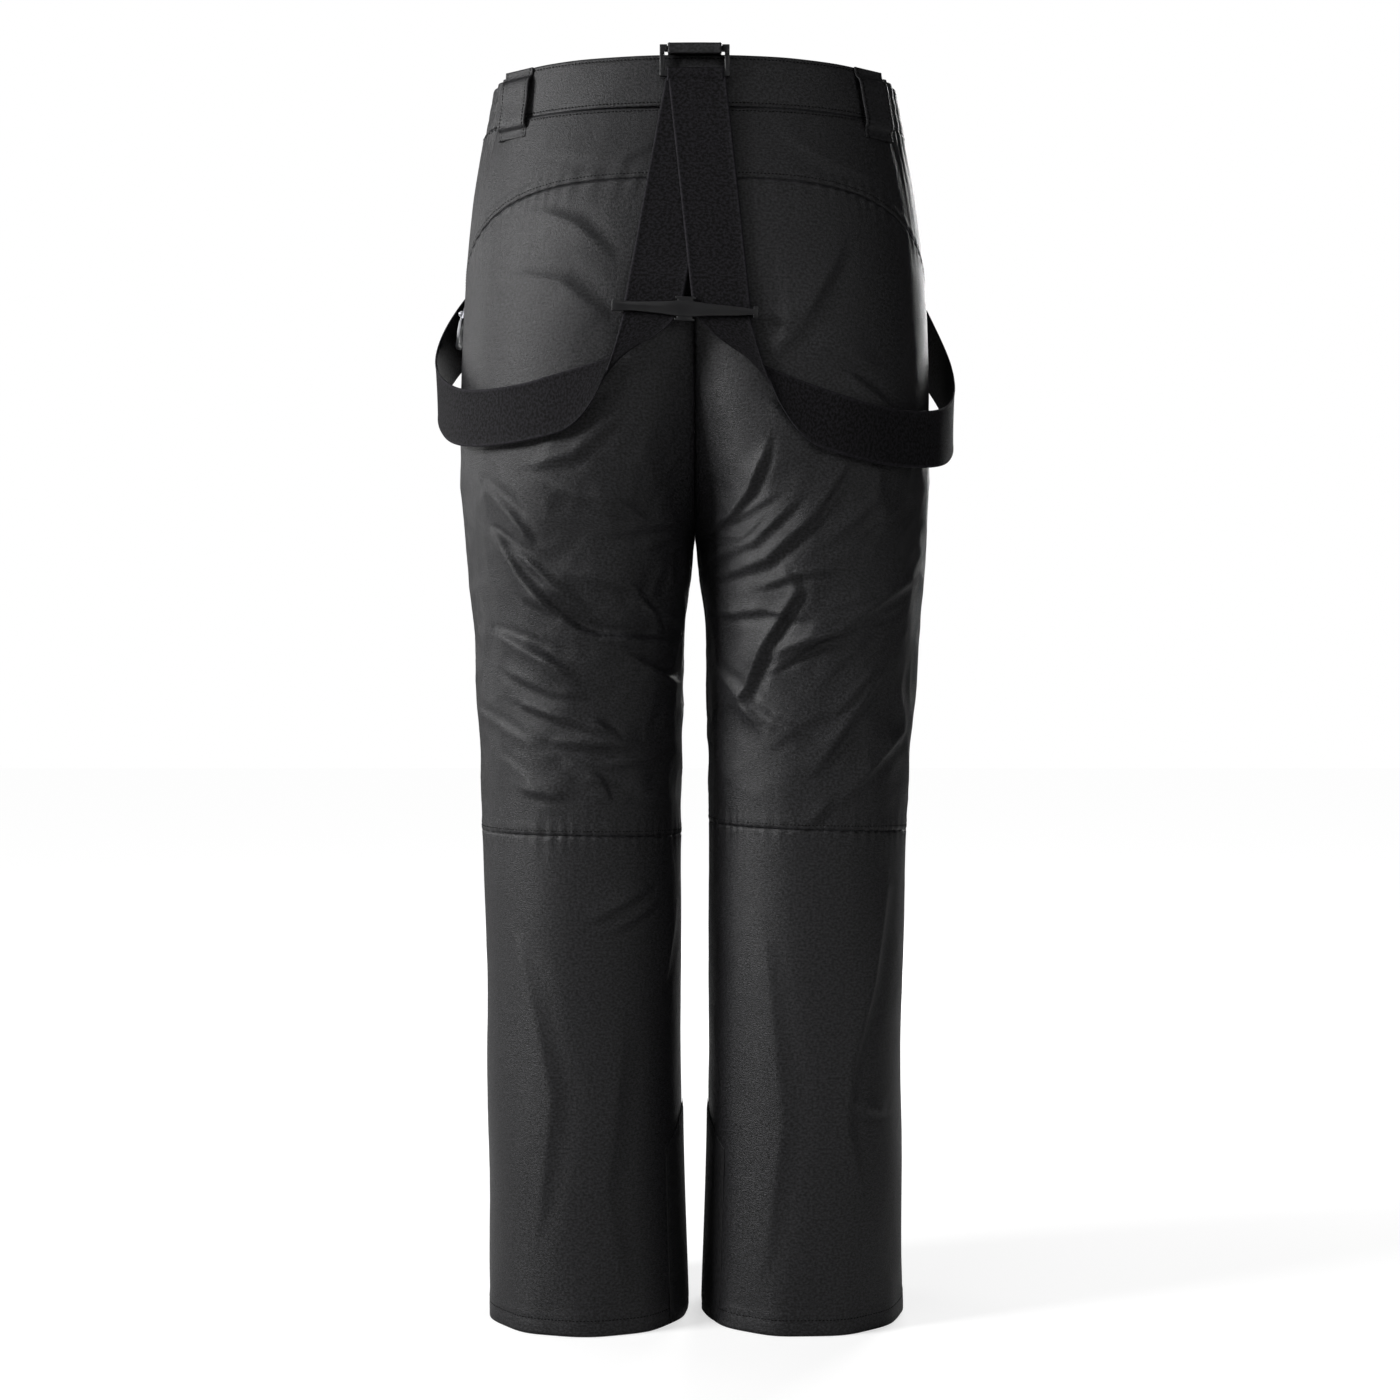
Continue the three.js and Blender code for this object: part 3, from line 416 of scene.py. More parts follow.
def skinNormal(side, z, phi):
    _, wide, back, front = section(z)
    deep = np.where(np.sin(phi) >= 0, back, front)
    power = p["roundness"] - 1
    nx = signedPower(signedPower(np.cos(phi), 2 / p["roundness"]), power) / wide
    ny = signedPower(signedPower(np.sin(phi), 2 / p["roundness"]), power) / deep
    size = np.hypot(nx, ny) + 1e-9
    return np.stack(np.broadcast_arrays(side * nx / size, ny / size, np.zeros_like(nx)), -1)


def startAngle(z):
    centre, wide, _, _ = section(z)
    reach = np.clip((centre - p["sewn"]) / wide, 0, 1)
    return np.minimum(np.arccos(-(reach ** (p["roundness"] / 2))), math.pi - 0.0012)


def yokeLine(u):
    return p["yokeTop"] - p["yokeDrop"] * u ** 3


def kneeLine(side, u):
    inner = -4 if side > 0 else 7.5  # the two knee seams don't quite match at the inseam
    return p["knee"] + inner * (1 - u) ** 1.2


def kneeOf(side):
    return lambda u: kneeLine(side, u)


def smooth(low, high, value):
    t = np.clip((value - low) / (high - low), 0, 1)
    return t * t * (3 - 2 * t)


def between(value, low, lowEnd, highStart, high):
    # 1 in the middle of a range, easing to 0 at both ends
    return smooth(low, lowEnd, value) * (1 - smooth(highStart, high, value))


def ridge(offset, width, power=2):
    # 1 on a line, falling to 0 on both sides of it
    return np.exp(-((np.abs(offset) / width) ** power))


# ---- folds: each is a line of (x, z) points, then its height and half width
backFolds = [
    ([(167, 674), (146, 639), (122, 612), (97, 592), (80, 586), (24, 585)], 5.2, 9),
    ([(167, 674), (116, 631), (89, 610)], 2.6, 7),
    ([(177, 717), (138, 670)], 2.8, 9),
    ([(116, 711), (49, 685)], 2.6, 9),
    ([(72, 674), (8, 688)], 2.4, 8),
    ([(41, 663), (8, 681)], 2.2, 6),
    ([(169, 592), (105, 556)], 3.4, 9),
    ([(146, 532), (77, 509)], 3.4, 9),
    ([(119, 500), (47, 496)], 3.0, 8),
    ([(77, 479), (27, 487)], 2.4, 7),
    ([(66, 576), (13, 548)], 2.6, 9),
    ([(144, 459), (110, 453)], 2.0, 7),
    ([(95, 640), (30, 622)], 2.2, 9),
    ([(40, 610), (10, 600)], 2.2, 7),
    ([(160, 560), (120, 541), (92, 538)], 1.8, 7),
    ([(60, 462), (20, 447)], 1.6, 8),
    ([(-61, 747), (-45, 709), (-31, 690), (-12, 681)], 3.4, 8),
    ([(-81, 637), (-86, 626), (-59, 581), (-40, 534), (-53, 516)], 4.4, 9),
    ([(-187, 640), (-120, 592), (-65, 570)], 3.0, 10),
    ([(-23, 640), (-60, 652), (-100, 690), (-125, 728)], 3.0, 9),
    ([(-159, 559), (-101, 475)], 3.0, 9),
    ([(-179, 509), (-126, 451)], 2.6, 9),
    ([(-114, 451), (-97, 430)], 2.0, 7),
    ([(-20, 560), (-60, 520), (-95, 505)], 2.4, 9),
    ([(-23, 608), (-60, 611), (-92, 604)], 2.2, 8),
    ([(-10, 655), (-50, 668), (-84, 700)], 2.2, 8),
    ([(-150, 700), (-110, 665)], 1.8, 10),
    ([(40, 375), (85, 350)], 2.0, 9),
    ([(32, 362), (70, 340)], 1.6, 8),
    ([(11, 396), (26, 288)], 1.4, 6),
    ([(-165, 376), (-151, 294), (-133, 229), (-128, 179), (-139, 126)], 2.6, 11),
    ([(-136, 193), (-163, 182)], 2.0, 7),
    ([(150, 330), (120, 200), (132, 90)], 1.5, 16),
    ([(60, 250), (75, 120), (60, 40)], 1.3, 16),
    ([(-60, 330), (-75, 180), (-60, 60)], 1.3, 16),
    ([(-127, 805), (-170, 775)], 2.2, 9),
    ([(-100, 830), (-150, 812)], 1.8, 10),
    ([(-58, 905), (-57, 868)], 1.2, 8),
    ([(70, 800), (120, 772), (150, 770)], 1.6, 10),
    ([(75, 850), (110, 880), (150, 890)], 2.0, 16),
    ([(72, 905), (100, 930), (128, 942)], 1.8, 12),
    ([(-66, 820), (-95, 860), (-120, 905)], 2.2, 15),
    ([(-62, 780), (-100, 745)], 2.2, 10),
    ([(64, 770), (100, 740), (135, 730)], 2.2, 10),
    ([(30, 1000), (60, 985), (110, 990)], 0.9, 12),
    ([(-75, 1005), (-110, 985), (-150, 975)], 0.9, 12),
]
frontFolds = [
    ([(20, 700), (70, 735), (120, 750)], 3.0, 10),
    ([(-20, 700), (-66, 738), (-124, 745)], 3.0, 10),
    ([(12, 676), (50, 672), (95, 650)], 3.0, 9),
    ([(-12, 672), (-55, 668), (-105, 640)], 3.0, 9),
    ([(20, 630), (70, 600), (130, 612)], 2.4, 9),
    ([(-24, 622), (-80, 596), (-128, 606)], 2.4, 9),
    ([(150, 520), (100, 498), (40, 505)], 2.8, 9),
    ([(-150, 512), (-96, 492), (-44, 500)], 2.8, 9),
    ([(140, 460), (90, 447), (50, 452)], 2.2, 8),
    ([(-138, 470), (-100, 452), (-46, 458)], 2.2, 8),
    ([(60, 360), (100, 340), (140, 352)], 1.8, 10),
    ([(-60, 350), (-98, 334), (-142, 340)], 1.8, 10),
    ([(120, 300), (108, 180), (118, 60)], 1.6, 16),
    ([(-120, 300), (-110, 170), (-122, 60)], 1.6, 16),
    ([(30, 900), (70, 880), (120, 886)], 1.6, 14),
    ([(-30, 890), (-76, 872), (-122, 880)], 1.6, 14),
]


def smallFolds(seed, count):
    # short folds that rise outwards from the inseam
    rng = np.random.default_rng(seed)
    folds = []
    for side in (1, -1):
        for _ in range(count):
            startX, startZ = rng.uniform(22, 140), rng.uniform(440, 690)
            angle, long = rng.uniform(0.2, 0.95), rng.uniform(26, 68)
            bend = rng.uniform(-5, 5)
            halfX, halfZ = math.cos(angle) * long / 2, math.sin(angle) * long / 2
            line = [
                (side * startX, startZ), (side * (startX + halfX), startZ + halfZ + bend),
                (side * (startX + 2 * halfX), startZ + 2 * halfZ),
            ]
            folds.append((line, rng.uniform(0.8, 2.4), rng.uniform(5, 9)))
    return folds


backFolds += smallFolds(31, 13)
frontFolds += smallFolds(47, 8)


def foldField(x, z, folds, reach):
    # each fold slopes gently on its lit side and drops steeply on the other
    height = np.zeros_like(x)
    for line, tall, wide in folds:
        line = np.array(line, float)
        steps = np.hypot(*(line[1:] - line[:-1]).T)
        total, run = steps.sum(), 0.0
        near = np.full(x.shape, 1e9)
        share, lit = np.zeros_like(x), np.ones_like(x)
        across, fall = line[-1] - line[0]
        up = 1 if across * 0.45 > fall * 0.9 else -1  # which side of the line faces the light
        for a, b, long in zip(line[:-1], line[1:], steps):
            dx, dz = (b - a) / long
            t = np.clip(((x - a[0]) * dx + (z - a[1]) * dz) / long, 0, 1)
            offX, offZ = x - a[0] - t * long * dx, z - a[1] - t * long * dz
            d = np.hypot(offX, offZ)
            closer = d < near
            near = np.where(closer, d, near)
            share = np.where(closer, (run + t * long) / total, share)
            lit = np.where(closer, np.sign((-dz * offX + dx * offZ) * up), lit)
            run += long
        fade = np.sin(np.pi * np.clip(share * 0.94 + 0.03, 0, 1)) ** 0.5
        width = wide * reach * (0.5 + 0.5 * fade)
        gentle = ridge(near, 1.75 * width, 1.15)
        steep = ridge(near, 0.52 * width, 1.5)
        hollow = ridge(near - 1.35 * width, 0.75 * width) * (lit < 0)
        height += tall * fade * (np.where(lit >= 0, gentle, steep) - 0.32 * hollow)
    return height


def waves(seed, count, low, high):
    chance = np.random.default_rng(seed)
    direction = chance.normal(size=(count, 3))
    direction /= np.linalg.norm(direction, axis=1)[:, None]
    lengths = chance.uniform(low, high, count)
    return direction * (2 * np.pi / lengths)[:, None], chance.uniform(0, 6.28, count)


def rolling(points, seed, low, high, count=14):
    vectors, phases = waves(seed, count, low, high)
    return np.sin(points @ vectors.T + phases).sum(-1) / math.sqrt(count)


drape = dict(
    roll=0.9, thighRoll=0.3, crumple=0.2, thighCrumple=1.3, crease=0.1, thighCrease=0.5,
    backFolds=1.5, frontFolds=1.1, backValley=13, frontValley=4.5,
    gathers=2.6, gathersFade=26, kneePucker=0.8, seatPucker=0.45, hemRipple=0.8,
    seamDepth=0.6, stitchDepth=0.35, stitchOffset=4.2, kneeAllowance=0.35, seatAllowance=0.4,
    longSeam=0.9, hemFold=0.5, hemStitch=0.45, limit=12, braceLimit=9.2, flat=0.6,
)


def heldTo(height, limit, share):
    # what stands above the limit is drawn down to it
    return np.where(height > limit, height * (1 - share) + limit * share, height)


def foldsAt(points, x, z, onBack, onFront):
    thigh = between(z, 400, 500, 720, 800)
    height = rolling(points, 3, 140, 300) * (drape["roll"] + drape["thighRoll"] * thigh)
    crumple = 1 - np.abs(rolling(points, 5, 60, 150, 10))
    calmer = 1 - 0.85 * smooth(740, 800, z)
    height += (crumple - 0.4) * (drape["crumple"] + drape["thighCrumple"] * thigh) * calmer
    height += (1 - np.abs(rolling(points, 8, 24, 60, 8))) * (drape["crease"] + drape["thighCrease"] * thigh)
    height += onBack * drape["backFolds"] * foldField(x, z, backFolds, 0.7)
    height += onFront * drape["frontFolds"] * foldField(x, z, frontFolds, 0.8)
    # the cloth falls in towards the middle seam below the seat
    low = between(z, 684, 720, 800, 880)
    height -= onBack * low * drape["backValley"] * ridge(x, 20, 1.2)
    height -= onFront * low * drape["frontValley"] * ridge(x, 24, 1.6)
    return height


def seamsAt(side, x, y, z, phi, onBack):
    share = 1 - np.clip(np.abs(phi) / startAngle(z), 0, 1)  # 0 at the middle or inseam, 1 at the side seam
    turn = np.pi / 2 - phi
    arc = turn * np.where(z > 800, 165, 95)
    # gathers below the elastic
    below = np.exp(-np.clip(p["waistSeam"] - z, 0, None) / drape["gathersFade"])
    height = between(turn, 0.95, 1.15, 2.2, 2.4) * below * drape["gathers"] * gather(turn, 0.4)
    # the knee seams, with small puckers on both sides
    offKnee = z - kneeLine(side, share)
    pucker = np.sin(arc / 1.7 + 2 * np.sin(arc / 11)) * np.exp(-np.abs(offKnee) / 7.5)
    height += drape["kneePucker"] * pucker * (0.75 + 0.25 * np.sin(arc / 23 + side))
    height -= drape["seamDepth"] * ridge(offKnee, 1.5)
    height -= drape["stitchDepth"] * ridge(offKnee - drape["stitchOffset"], 1.3)
    height += drape["kneeAllowance"] * between(offKnee, -1, 1, 7, 12)
    # the seat seam and its allowance
    offYoke = z - yokeLine(share)
    height -= onBack * drape["seamDepth"] * ridge(offYoke, 1.5)
    height -= onBack * drape["stitchDepth"] * ridge(offYoke - drape["stitchOffset"], 1.3)
    height += onBack * drape["seatAllowance"] * between(offYoke, -1, 1, 7, 12)
    pucker = np.sin(arc / 2.1 + 3 * np.sin(arc / 17)) * np.exp(-np.abs(offYoke) / 9)
    height += onBack * drape["seatPucker"] * pucker
    # side seams and inseams, the middle seam, the waist seam and the turned hem
    height -= drape["longSeam"] * ridge(y, 2.2)
    height -= drape["longSeam"] * ridge(x, 2.0) * smooth(650, 680, z)
    height -= drape["longSeam"] * ridge(z - p["waistSeam"], 2.0)
    height += drape["hemFold"] * (1 - smooth(16, 20, z)) - drape["hemStitch"] * ridge(z - 13, 1.3)
    height += (1 - smooth(10, 60, z)) * drape["hemRipple"] * np.sin(arc / 9 + side * 2)
    return height


def relief(side, z, phi):
    # how far the cloth stands off its smooth shape, outwards
    points = skin(side, z, phi)
    x, y, z = points[..., 0], points[..., 1], points[..., 2]
    onBack, onFront = smooth(12, 55, y), smooth(12, 55, -y)
    height = foldsAt(points, x, z, onBack, onFront) + seamsAt(side, x, y, z, phi, onBack)
    # between the thighs there is only the width of the gap
    inseam = (1 - smooth(18, 60, np.abs(x))) * between(z, 540, 600, 668, 676)
    height = heldTo(height, 0.75 * gapHalf(z), inseam)
    # it lies flat under the braces, the pocket and the fly
    strapBand = onBack * (1 - smooth(66, 78, np.abs(x))) * smooth(828, 838, z)
    height = heldTo(height, drape["flat"], strapBand)
    lowBand = onBack * between(z, 735, 750, 850, 870)
    height = np.minimum(height, drape["limit"] - drape["braceLimit"] * lowBand)
    pocketBand = between(z, 860, 875, 995, 1010) * between(phi, -0.55, -0.42, -0.06, 0.05)
    height = heldTo(height, drape["flat"], pocketBand)
    atFly = onFront * smooth(820, 868, z) * (1 - smooth(46, 84, np.abs(x)))
    return height * (1 - atFly)


def gather(turn, wander):
    # rounded pleats with sharp valleys between them
    arc = turn * 172 + 3.2 * np.sin(turn * 21) + 1.7 * np.sin(turn * 47 + 1)
    return np.abs(np.sin(arc / 5.6 + wander)) - 0.6 + 0.25 * np.sin(arc / 3.1)


def cloth(side, z, phi, inset=0.0, follow=1.0):
    # a point of the finished cloth, inset millimetres inside its surface
    z, phi = np.broadcast_arrays(np.asarray(z, float), np.asarray(phi, float))
    out = relief(side, z, phi) * follow
    normal = skinNormal(side, z, phi)
    # above the crotch the two halves keep meeting in the middle
    closed = smooth(p["crotch"] - 14, p["crotch"], z)
    across = skin(side, z, phi)[..., 0]
    normal[..., 0] = normal[..., 0] * (1 - closed * (1 - smooth(2, 26, np.abs(across))))
    return skin(side, z, phi, inset) + normal * out[..., None]


# ---- cloth meshes
def toFrame(points):
    return (np.asarray(points, float).reshape(-1, 3) + (0, p["depthShift"], 0)) * 0.001


def gridQuads(rows, columns, offset, wrap):
    spans = columns if wrap else columns - 1
    i, j = np.meshgrid(np.arange(rows - 1), np.arange(spans), indexing="ij")
    k = (j + 1) % columns
    quads = np.stack([i * columns + j, i * columns + k, (i + 1) * columns + k, (i + 1) * columns + j], -1)
    return quads.reshape(-1, 4) + offset


def cutMesh(name, points, quads, uv, finish, smoothFlags=None):
    # points are already in the frame, in metres; uv goes with the points
    mesh = bpy.data.meshes.new(name)
    quads = np.asarray(quads, np.int64)
    a, b, c, d = (points[quads[:, k]] for k in range(4))
    volume = np.einsum("ij,ij->", a, np.cross(b, c)) + np.einsum("ij,ij->", a, np.cross(c, d))
    if volume < 0:
        quads = quads[:, ::-1]
    mesh.vertices.add(len(points))
    mesh.vertices.foreach_set("co", points.astype(np.float32).ravel())
    mesh.loops.add(quads.size)
    mesh.loops.foreach_set("vertex_index", quads.ravel().astype(np.int32))
    mesh.polygons.add(len(quads))
    mesh.polygons.foreach_set("loop_start", np.arange(0, quads.size, 4, dtype=np.int32))
    flags = np.ones(len(quads), bool) if smoothFlags is None else smoothFlags
    mesh.polygons.foreach_set("use_smooth", flags)
    mesh.update(calc_edges=True)
    layer = mesh.uv_layers.new(name="weave")
    layer.data.foreach_set("uv", uv[quads.ravel()].astype(np.float32).ravel())
    mesh.validate()
    mesh.materials.append(finish)
    piece = bpy.data.objects.new(name, mesh)
    scene.collection.objects.link(piece)
    return piece


def closedSheet(name, outer, inner, uv, finish, wrap=False):
    # two grids of points joined by walls round their edges
    rows, columns = outer.shape[:2]
    points = toFrame(np.concatenate([outer.reshape(-1, 3), inner.reshape(-1, 3)]))
    under = rows * columns
    front = gridQuads(rows, columns, 0, wrap)
    back = gridQuads(rows, columns, under, wrap)[:, ::-1]
    ring = np.arange(columns if wrap else columns - 1)
    after = (ring + 1) % columns
    low = np.stack([ring, ring + under, after + under, after], -1)
    top = (rows - 1) * columns
    high = np.stack([ring + top, after + top, after + top + under, ring + top + under], -1)
    walls = [low, high]
    if not wrap:
        rise = np.arange(rows - 1) * columns
        far = rise + columns - 1
        walls.append(np.stack([rise, rise + columns, rise + columns + under, rise + under], -1))
        walls.append(np.stack([far, far + under, far + columns + under, far + columns], -1))
    walls = np.concatenate(walls)
    flags = np.r_[np.ones(len(front) + len(back), bool), np.zeros(len(walls), bool)]
    uvs = np.concatenate([uv.reshape(-1, 2)] * 2)
    return cutMesh(name, points, np.concatenate([front, back, walls]), uvs, finish, flags)


def gridUv(points):
    # metres along each row, centred, and metres up each column
    across = np.zeros(points.shape[:2])
    across[:, 1:] = np.cumsum(np.linalg.norm(np.diff(points, axis=1), axis=2), axis=1)
    across -= across.mean(axis=1, keepdims=True)
    along = np.zeros(points.shape[:2])
    along[1:] = np.cumsum(np.linalg.norm(np.diff(points, axis=0), axis=2), axis=0)
    return np.stack([across, along.mean(axis=1, keepdims=True) + 0 * across], -1) * 0.001


def sewOn(piece, slotName, *nodes, body="root", flat=None, held="hung"):
    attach(piece, body)
    if nodes:
        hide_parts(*nodes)
    return piece


panels = dict(step=2.6, wall=0.9, hemWall=2.6, hemTop=17.5)


def hemWall(z):
    extra = 1 - smooth(panels["hemTop"] - 1, panels["hemTop"] + 2, z)
    return panels["wall"] + (panels["hemWall"] - panels["wall"]) * extra


def panelGrid(face, low, high, wide, tall):
    # u runs from the middle out to the side seam, v from the lower edge up
    u = np.linspace(0, 1, int(wide / panels["step"]))[None, :]
    v = np.linspace(0, 1, int(tall / panels["step"]))[:, None]
    z = low(u) + (high(u) - low(u)) * v
    z = np.clip(z, low(u) + p["sewn"] * (low(u) > 1), high(u) - p["sewn"])
    phi = face * (startAngle(z) * (1 - u) + 0.0012 * u)
    return z, phi


def makePanel(name, side, face, low, high, wide, tall, node):
    z, phi = panelGrid(face, low, high, wide, tall)
    outer = cloth(side, z, phi)
    inner = cloth(side, z, phi, hemWall(z))
    plain = skin(side, z, phi)
    panel = closedSheet(name, outer, inner, gridUv(plain), shellCloth)
    return sewOn(panel, "shell_cloth", node, flat=plain)


def level(height):
    return lambda u: height + 0 * u


sides = [(1, "left"), (-1, "right")]
for side, name in sides:
    title = name.capitalize()
    knee = kneeOf(side)
    waist = level(p["waistSeam"])
    makePanel(f"yoke{title}", side, 1, yokeLine, waist, 290, 105, f"yoke_{name}")
    makePanel(f"seatPanel{title}", side, 1, knee, yokeLine, 330, 530, f"seat_panel_{name}")
    makePanel(f"frontPanel{title}", side, -1, knee, waist, 330, 606, f"front_panel_{name}")
    makePanel(f"calfPanel{title}", side, 1, level(0), knee, 300, 422, f"calf_panel_{name}")
    makePanel(f"shinPanel{title}", side, -1, level(0), knee, 300, 422, f"shin_panel_{name}")
print("panels sewn")


# ---- lining and wadding in one quilted layer, open at the waist and at the hem
quilt = dict(foot=24, depth=2.4, wall=4.6, channel=64, puff=1.1, rows=230, columns=150)


def makeQuilt(side, name):
    u = np.linspace(-1, 1, quilt["columns"])[None, :]
    z = np.linspace(quilt["foot"], p["waistSeam"] - 1.0, quilt["rows"])[:, None]
    phi = -startAngle(z) * u
    z = z + 0 * u
    nearTop = smooth(p["waistSeam"] - 26, p["waistSeam"] - 2, z)
    line = np.abs(np.sin(np.pi * z / quilt["channel"]))
    puff = quilt["puff"] * np.clip(line * 6, 0, 1) ** 0.6 * (1 - nearTop)
    wall = quilt["wall"] * (1 - 0.55 * nearTop)
    outer = cloth(side, z, phi, quilt["depth"], 0.85)
    inner = cloth(side, z, phi, quilt["depth"] + wall + puff - quilt["puff"], 0.85)
    piece = closedSheet(f"quiltedLining{name.capitalize()}", outer, inner, gridUv(inner), linerCloth)
    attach(piece, "root")
    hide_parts(f"lining_{name}", f"wadding_{name}")
    return piece


for side, name in sides:
    makeQuilt(side, name)
print("lining quilted")


# ---- snow gaiters, their elastic feet, and the scuff guards
gaiter = dict(top=205, foot=30, grip=12, lowDepth=26.3, highDepth=8.3, wall=0.8, gripWall=3, columns=168)


def legRing(side, z, inset, pucker):
    turn = np.linspace(math.pi, -math.pi, gaiter["columns"], endpoint=False)[None, :]
    z = np.asarray(z, float)[:, None]
    inset = np.asarray(inset, float)[:, None]
    fold = np.asarray(pucker, float)[:, None] * np.sin(turn * 28 + 1.3 * np.sin(turn * 5))
    return skin(side, z + 0 * turn, turn + 0 * z, inset + fold)


def makeGaiter(side, name):
    title = name.capitalize()
    z = np.linspace(gaiter["foot"] + 0.2, gaiter["top"], 60)
    t = smooth(gaiter["foot"] + 25, gaiter["top"] - 25, z)
    depth = gaiter["lowDepth"] + (gaiter["highDepth"] - gaiter["lowDepth"]) * t
    pucker = 1.5 * np.exp(-(z - gaiter["foot"]) / 22)
    outer = legRing(side, z, depth, pucker)
    inner = legRing(side, z, depth + gaiter["wall"], pucker)
    sleeve = closedSheet(f"gaiter{title}", outer, inner, gridUv(outer), linerCloth, wrap=True)
    sewOn(sleeve, "liner_cloth", f"gaiter_{name}", flat=legRing(side, z, depth, 0 * z), held="gathered")
    z = np.linspace(gaiter["grip"], gaiter["foot"], 13)
    rib = 0.35 * np.sin(z * 2.1)
    outer = legRing(side, z, gaiter["lowDepth"] - 0.2 + rib * 0.5, 0.5 + 0 * z)
    inner = legRing(side, z, gaiter["lowDepth"] + gaiter["gripWall"] - 0.6 - rib * 0.5, 0.5 + 0 * z)
    grip = closedSheet(f"gaiterElastic{title}", outer, inner, gridUv(outer), gripElastic, wrap=True)
    sewOn(grip, "gripper_elastic", f"gaiter_elastic_{name}", flat=outer, held="gathered")


guard = dict(top=150, slant=33, angle=0.62, stand=0.4, thick=0.9, rows=64, columns=64)


def makeGuard(side, name):
    turn = np.linspace(-guard["angle"], guard["angle"], guard["columns"])[None, :]
    top = guard["top"] + guard["slant"] * (1 - np.abs(turn) / guard["angle"])
    v = np.linspace(0, 1, guard["rows"])[:, None]
    z = 0.5 + (top - 0.5) * v
    angle = math.pi - turn
    angle = np.where(angle > math.pi, angle - 2 * math.pi, angle) + 0 * z
    rim = np.minimum(np.minimum(v, 1 - v) * guard["rows"], (guard["angle"] - np.abs(turn)) * 60)
    puff = np.clip(rim / 3, 0.35, 1) + 0 * z
    outer = skin(side, z, angle, -guard["stand"] - guard["thick"] * puff)
    inner = skin(side, z, angle, -guard["stand"] + 0 * z)
    piece = closedSheet(f"scuffGuard{name.capitalize()}", outer, inner, gridUv(outer), guardCloth)
    sewOn(piece, "guard_cloth", f"scuff_guard_{name}", flat=outer)


for side, name in sides:
    makeGaiter(side, name)
    makeGuard(side, name)
print("gaiters and guards fitted")


# ---- waistband: plain at the back and front, gathered on elastic at the sides
band = dict(
    elasticBack=1.05, elasticFront=2.3, wall=3.0, gap=0.002, frontGap=0.0002, rows=30, step=1.3,
    pleat=2.3, sideDrop=7, dropAt=1.62, dropSpread=0.42, radius=172, stitchAt=3.2,
)


def bandSkin(around, z, inset):
    around = np.where(around > np.pi, around - 2 * np.pi, around)
    side = np.where(around < 0, -1.0, 1.0)
    phi = np.pi / 2 - np.abs(around)
    return skin(side, z, phi, inset), skinNormal(side, z, phi)


def makeBand(name, start, stop, node, gathered):
    steps = int((stop - start) * band["radius"] / band["step"])
    bandTall = p["waistTop"] - p["waistSeam"]
    first, last = (band["gap"] if abs(end) < 3 else band["frontGap"] for end in (start, stop))
    around = np.linspace(start + first, stop - last, steps)[None, :]
    z = np.linspace(p["waistSeam"] + p["sewn"], p["waistTop"], band["rows"])[:, None]
    around, z = np.broadcast_arrays(around, z)
    # the elastic draws the top edge down
    drop = band["sideDrop"] * ridge(np.abs(around) - band["dropAt"], band["dropSpread"])
    z = z - drop * (z - p["waistSeam"]) / bandTall
    up = (z - p["waistSeam"]) / bandTall
    edge = np.minimum(up, 1 - up) * bandTall
    soft = np.clip(edge / 1.6, 0, 1) ** 0.5
    ends = np.clip(np.minimum(around - start, stop - around) / 0.06, 0, 1)
    stand = 0.5 * soft - 0.5
    if gathered:
        # two rows of stitching hold the elastic down
        rows = 0.65 + 0.35 * np.abs(np.sin(np.pi * up * 3))
        stand = stand + band["pleat"] * gather(np.abs(around), 0.4) * ends * (0.55 + 0.45 * soft) * rows
    else:
        arc = around * 150
        stand = stand + 0.35 * np.sin(arc / 26 + 3 * up) + 0.22 * np.sin(arc / 9 + 5 * up) * np.sin(arc / 40)
        stand -= 0.45 * ridge(edge - band["stitchAt"], 0.9)
    plain, normal = bandSkin(around, z, 0.0)
    inside, _ = bandSkin(around, z, band["wall"])
    outer = plain + normal * stand[..., None]
    inner = inside + normal * (0.8 * stand)[..., None] * (1.0 if gathered else 0.3)
    piece = closedSheet(name, outer, inner, gridUv(plain), shellCloth)
    sewOn(piece, "shell_cloth", node, flat=plain, held="gathered" if gathered else "hung")


backEnd, frontEnd = band["elasticBack"], band["elasticFront"]
makeBand("waistbandBack", -backEnd, backEnd, "waistband_back", False)
makeBand("elasticSideLeft", backEnd, frontEnd, "elastic_side_left", True)
makeBand("elasticSideRight", -frontEnd, -backEnd, "elastic_side_right", True)
makeBand("waistbandFrontLeft", frontEnd, math.pi, "waistband_front_left", False)
makeBand("waistbandFrontRight", -math.pi, -frontEnd, "waistband_front_right", False)
print("waistband sewn")


# ---- strips: straps, loops and welts are all flat bands along a line
def hermite(t, start, leaving, stop, arriving):
    one = 2 * t ** 3 - 3 * t ** 2 + 1
    return (
        one * start + (t ** 3 - 2 * t ** 2 + t) * leaving
        + (1 - one) * stop + (t ** 3 - t ** 2) * arriving
    )


def curveThrough(points, steps):
    # an even curve that passes through every point
    points = np.asarray(points, float)
    before = 2 * points[0] - points[1]
    after = 2 * points[-1] - points[-2]
    full = np.vstack([before, points, after])
    out = []
    for i in range(len(points) - 1):
        a, b, c, d = full[i : i + 4]
        ab, bc, cd = (max(np.linalg.norm(q - r) ** 0.5, 1e-4) for q, r in ((a, b), (b, c), (c, d)))
        left = ((b - a) / ab - (c - a) / (ab + bc) + (c - b) / bc) * bc
        right = ((c - b) / bc - (d - b) / (bc + cd) + (d - c) / cd) * bc
        for s in range(steps):
            t = s / steps
            out.append(hermite(t, b, left, c, right))
    return np.vstack([out, points[-1]])


def unit(vectors):
    return vectors / (np.linalg.norm(vectors, axis=-1, keepdims=True) + 1e-12)


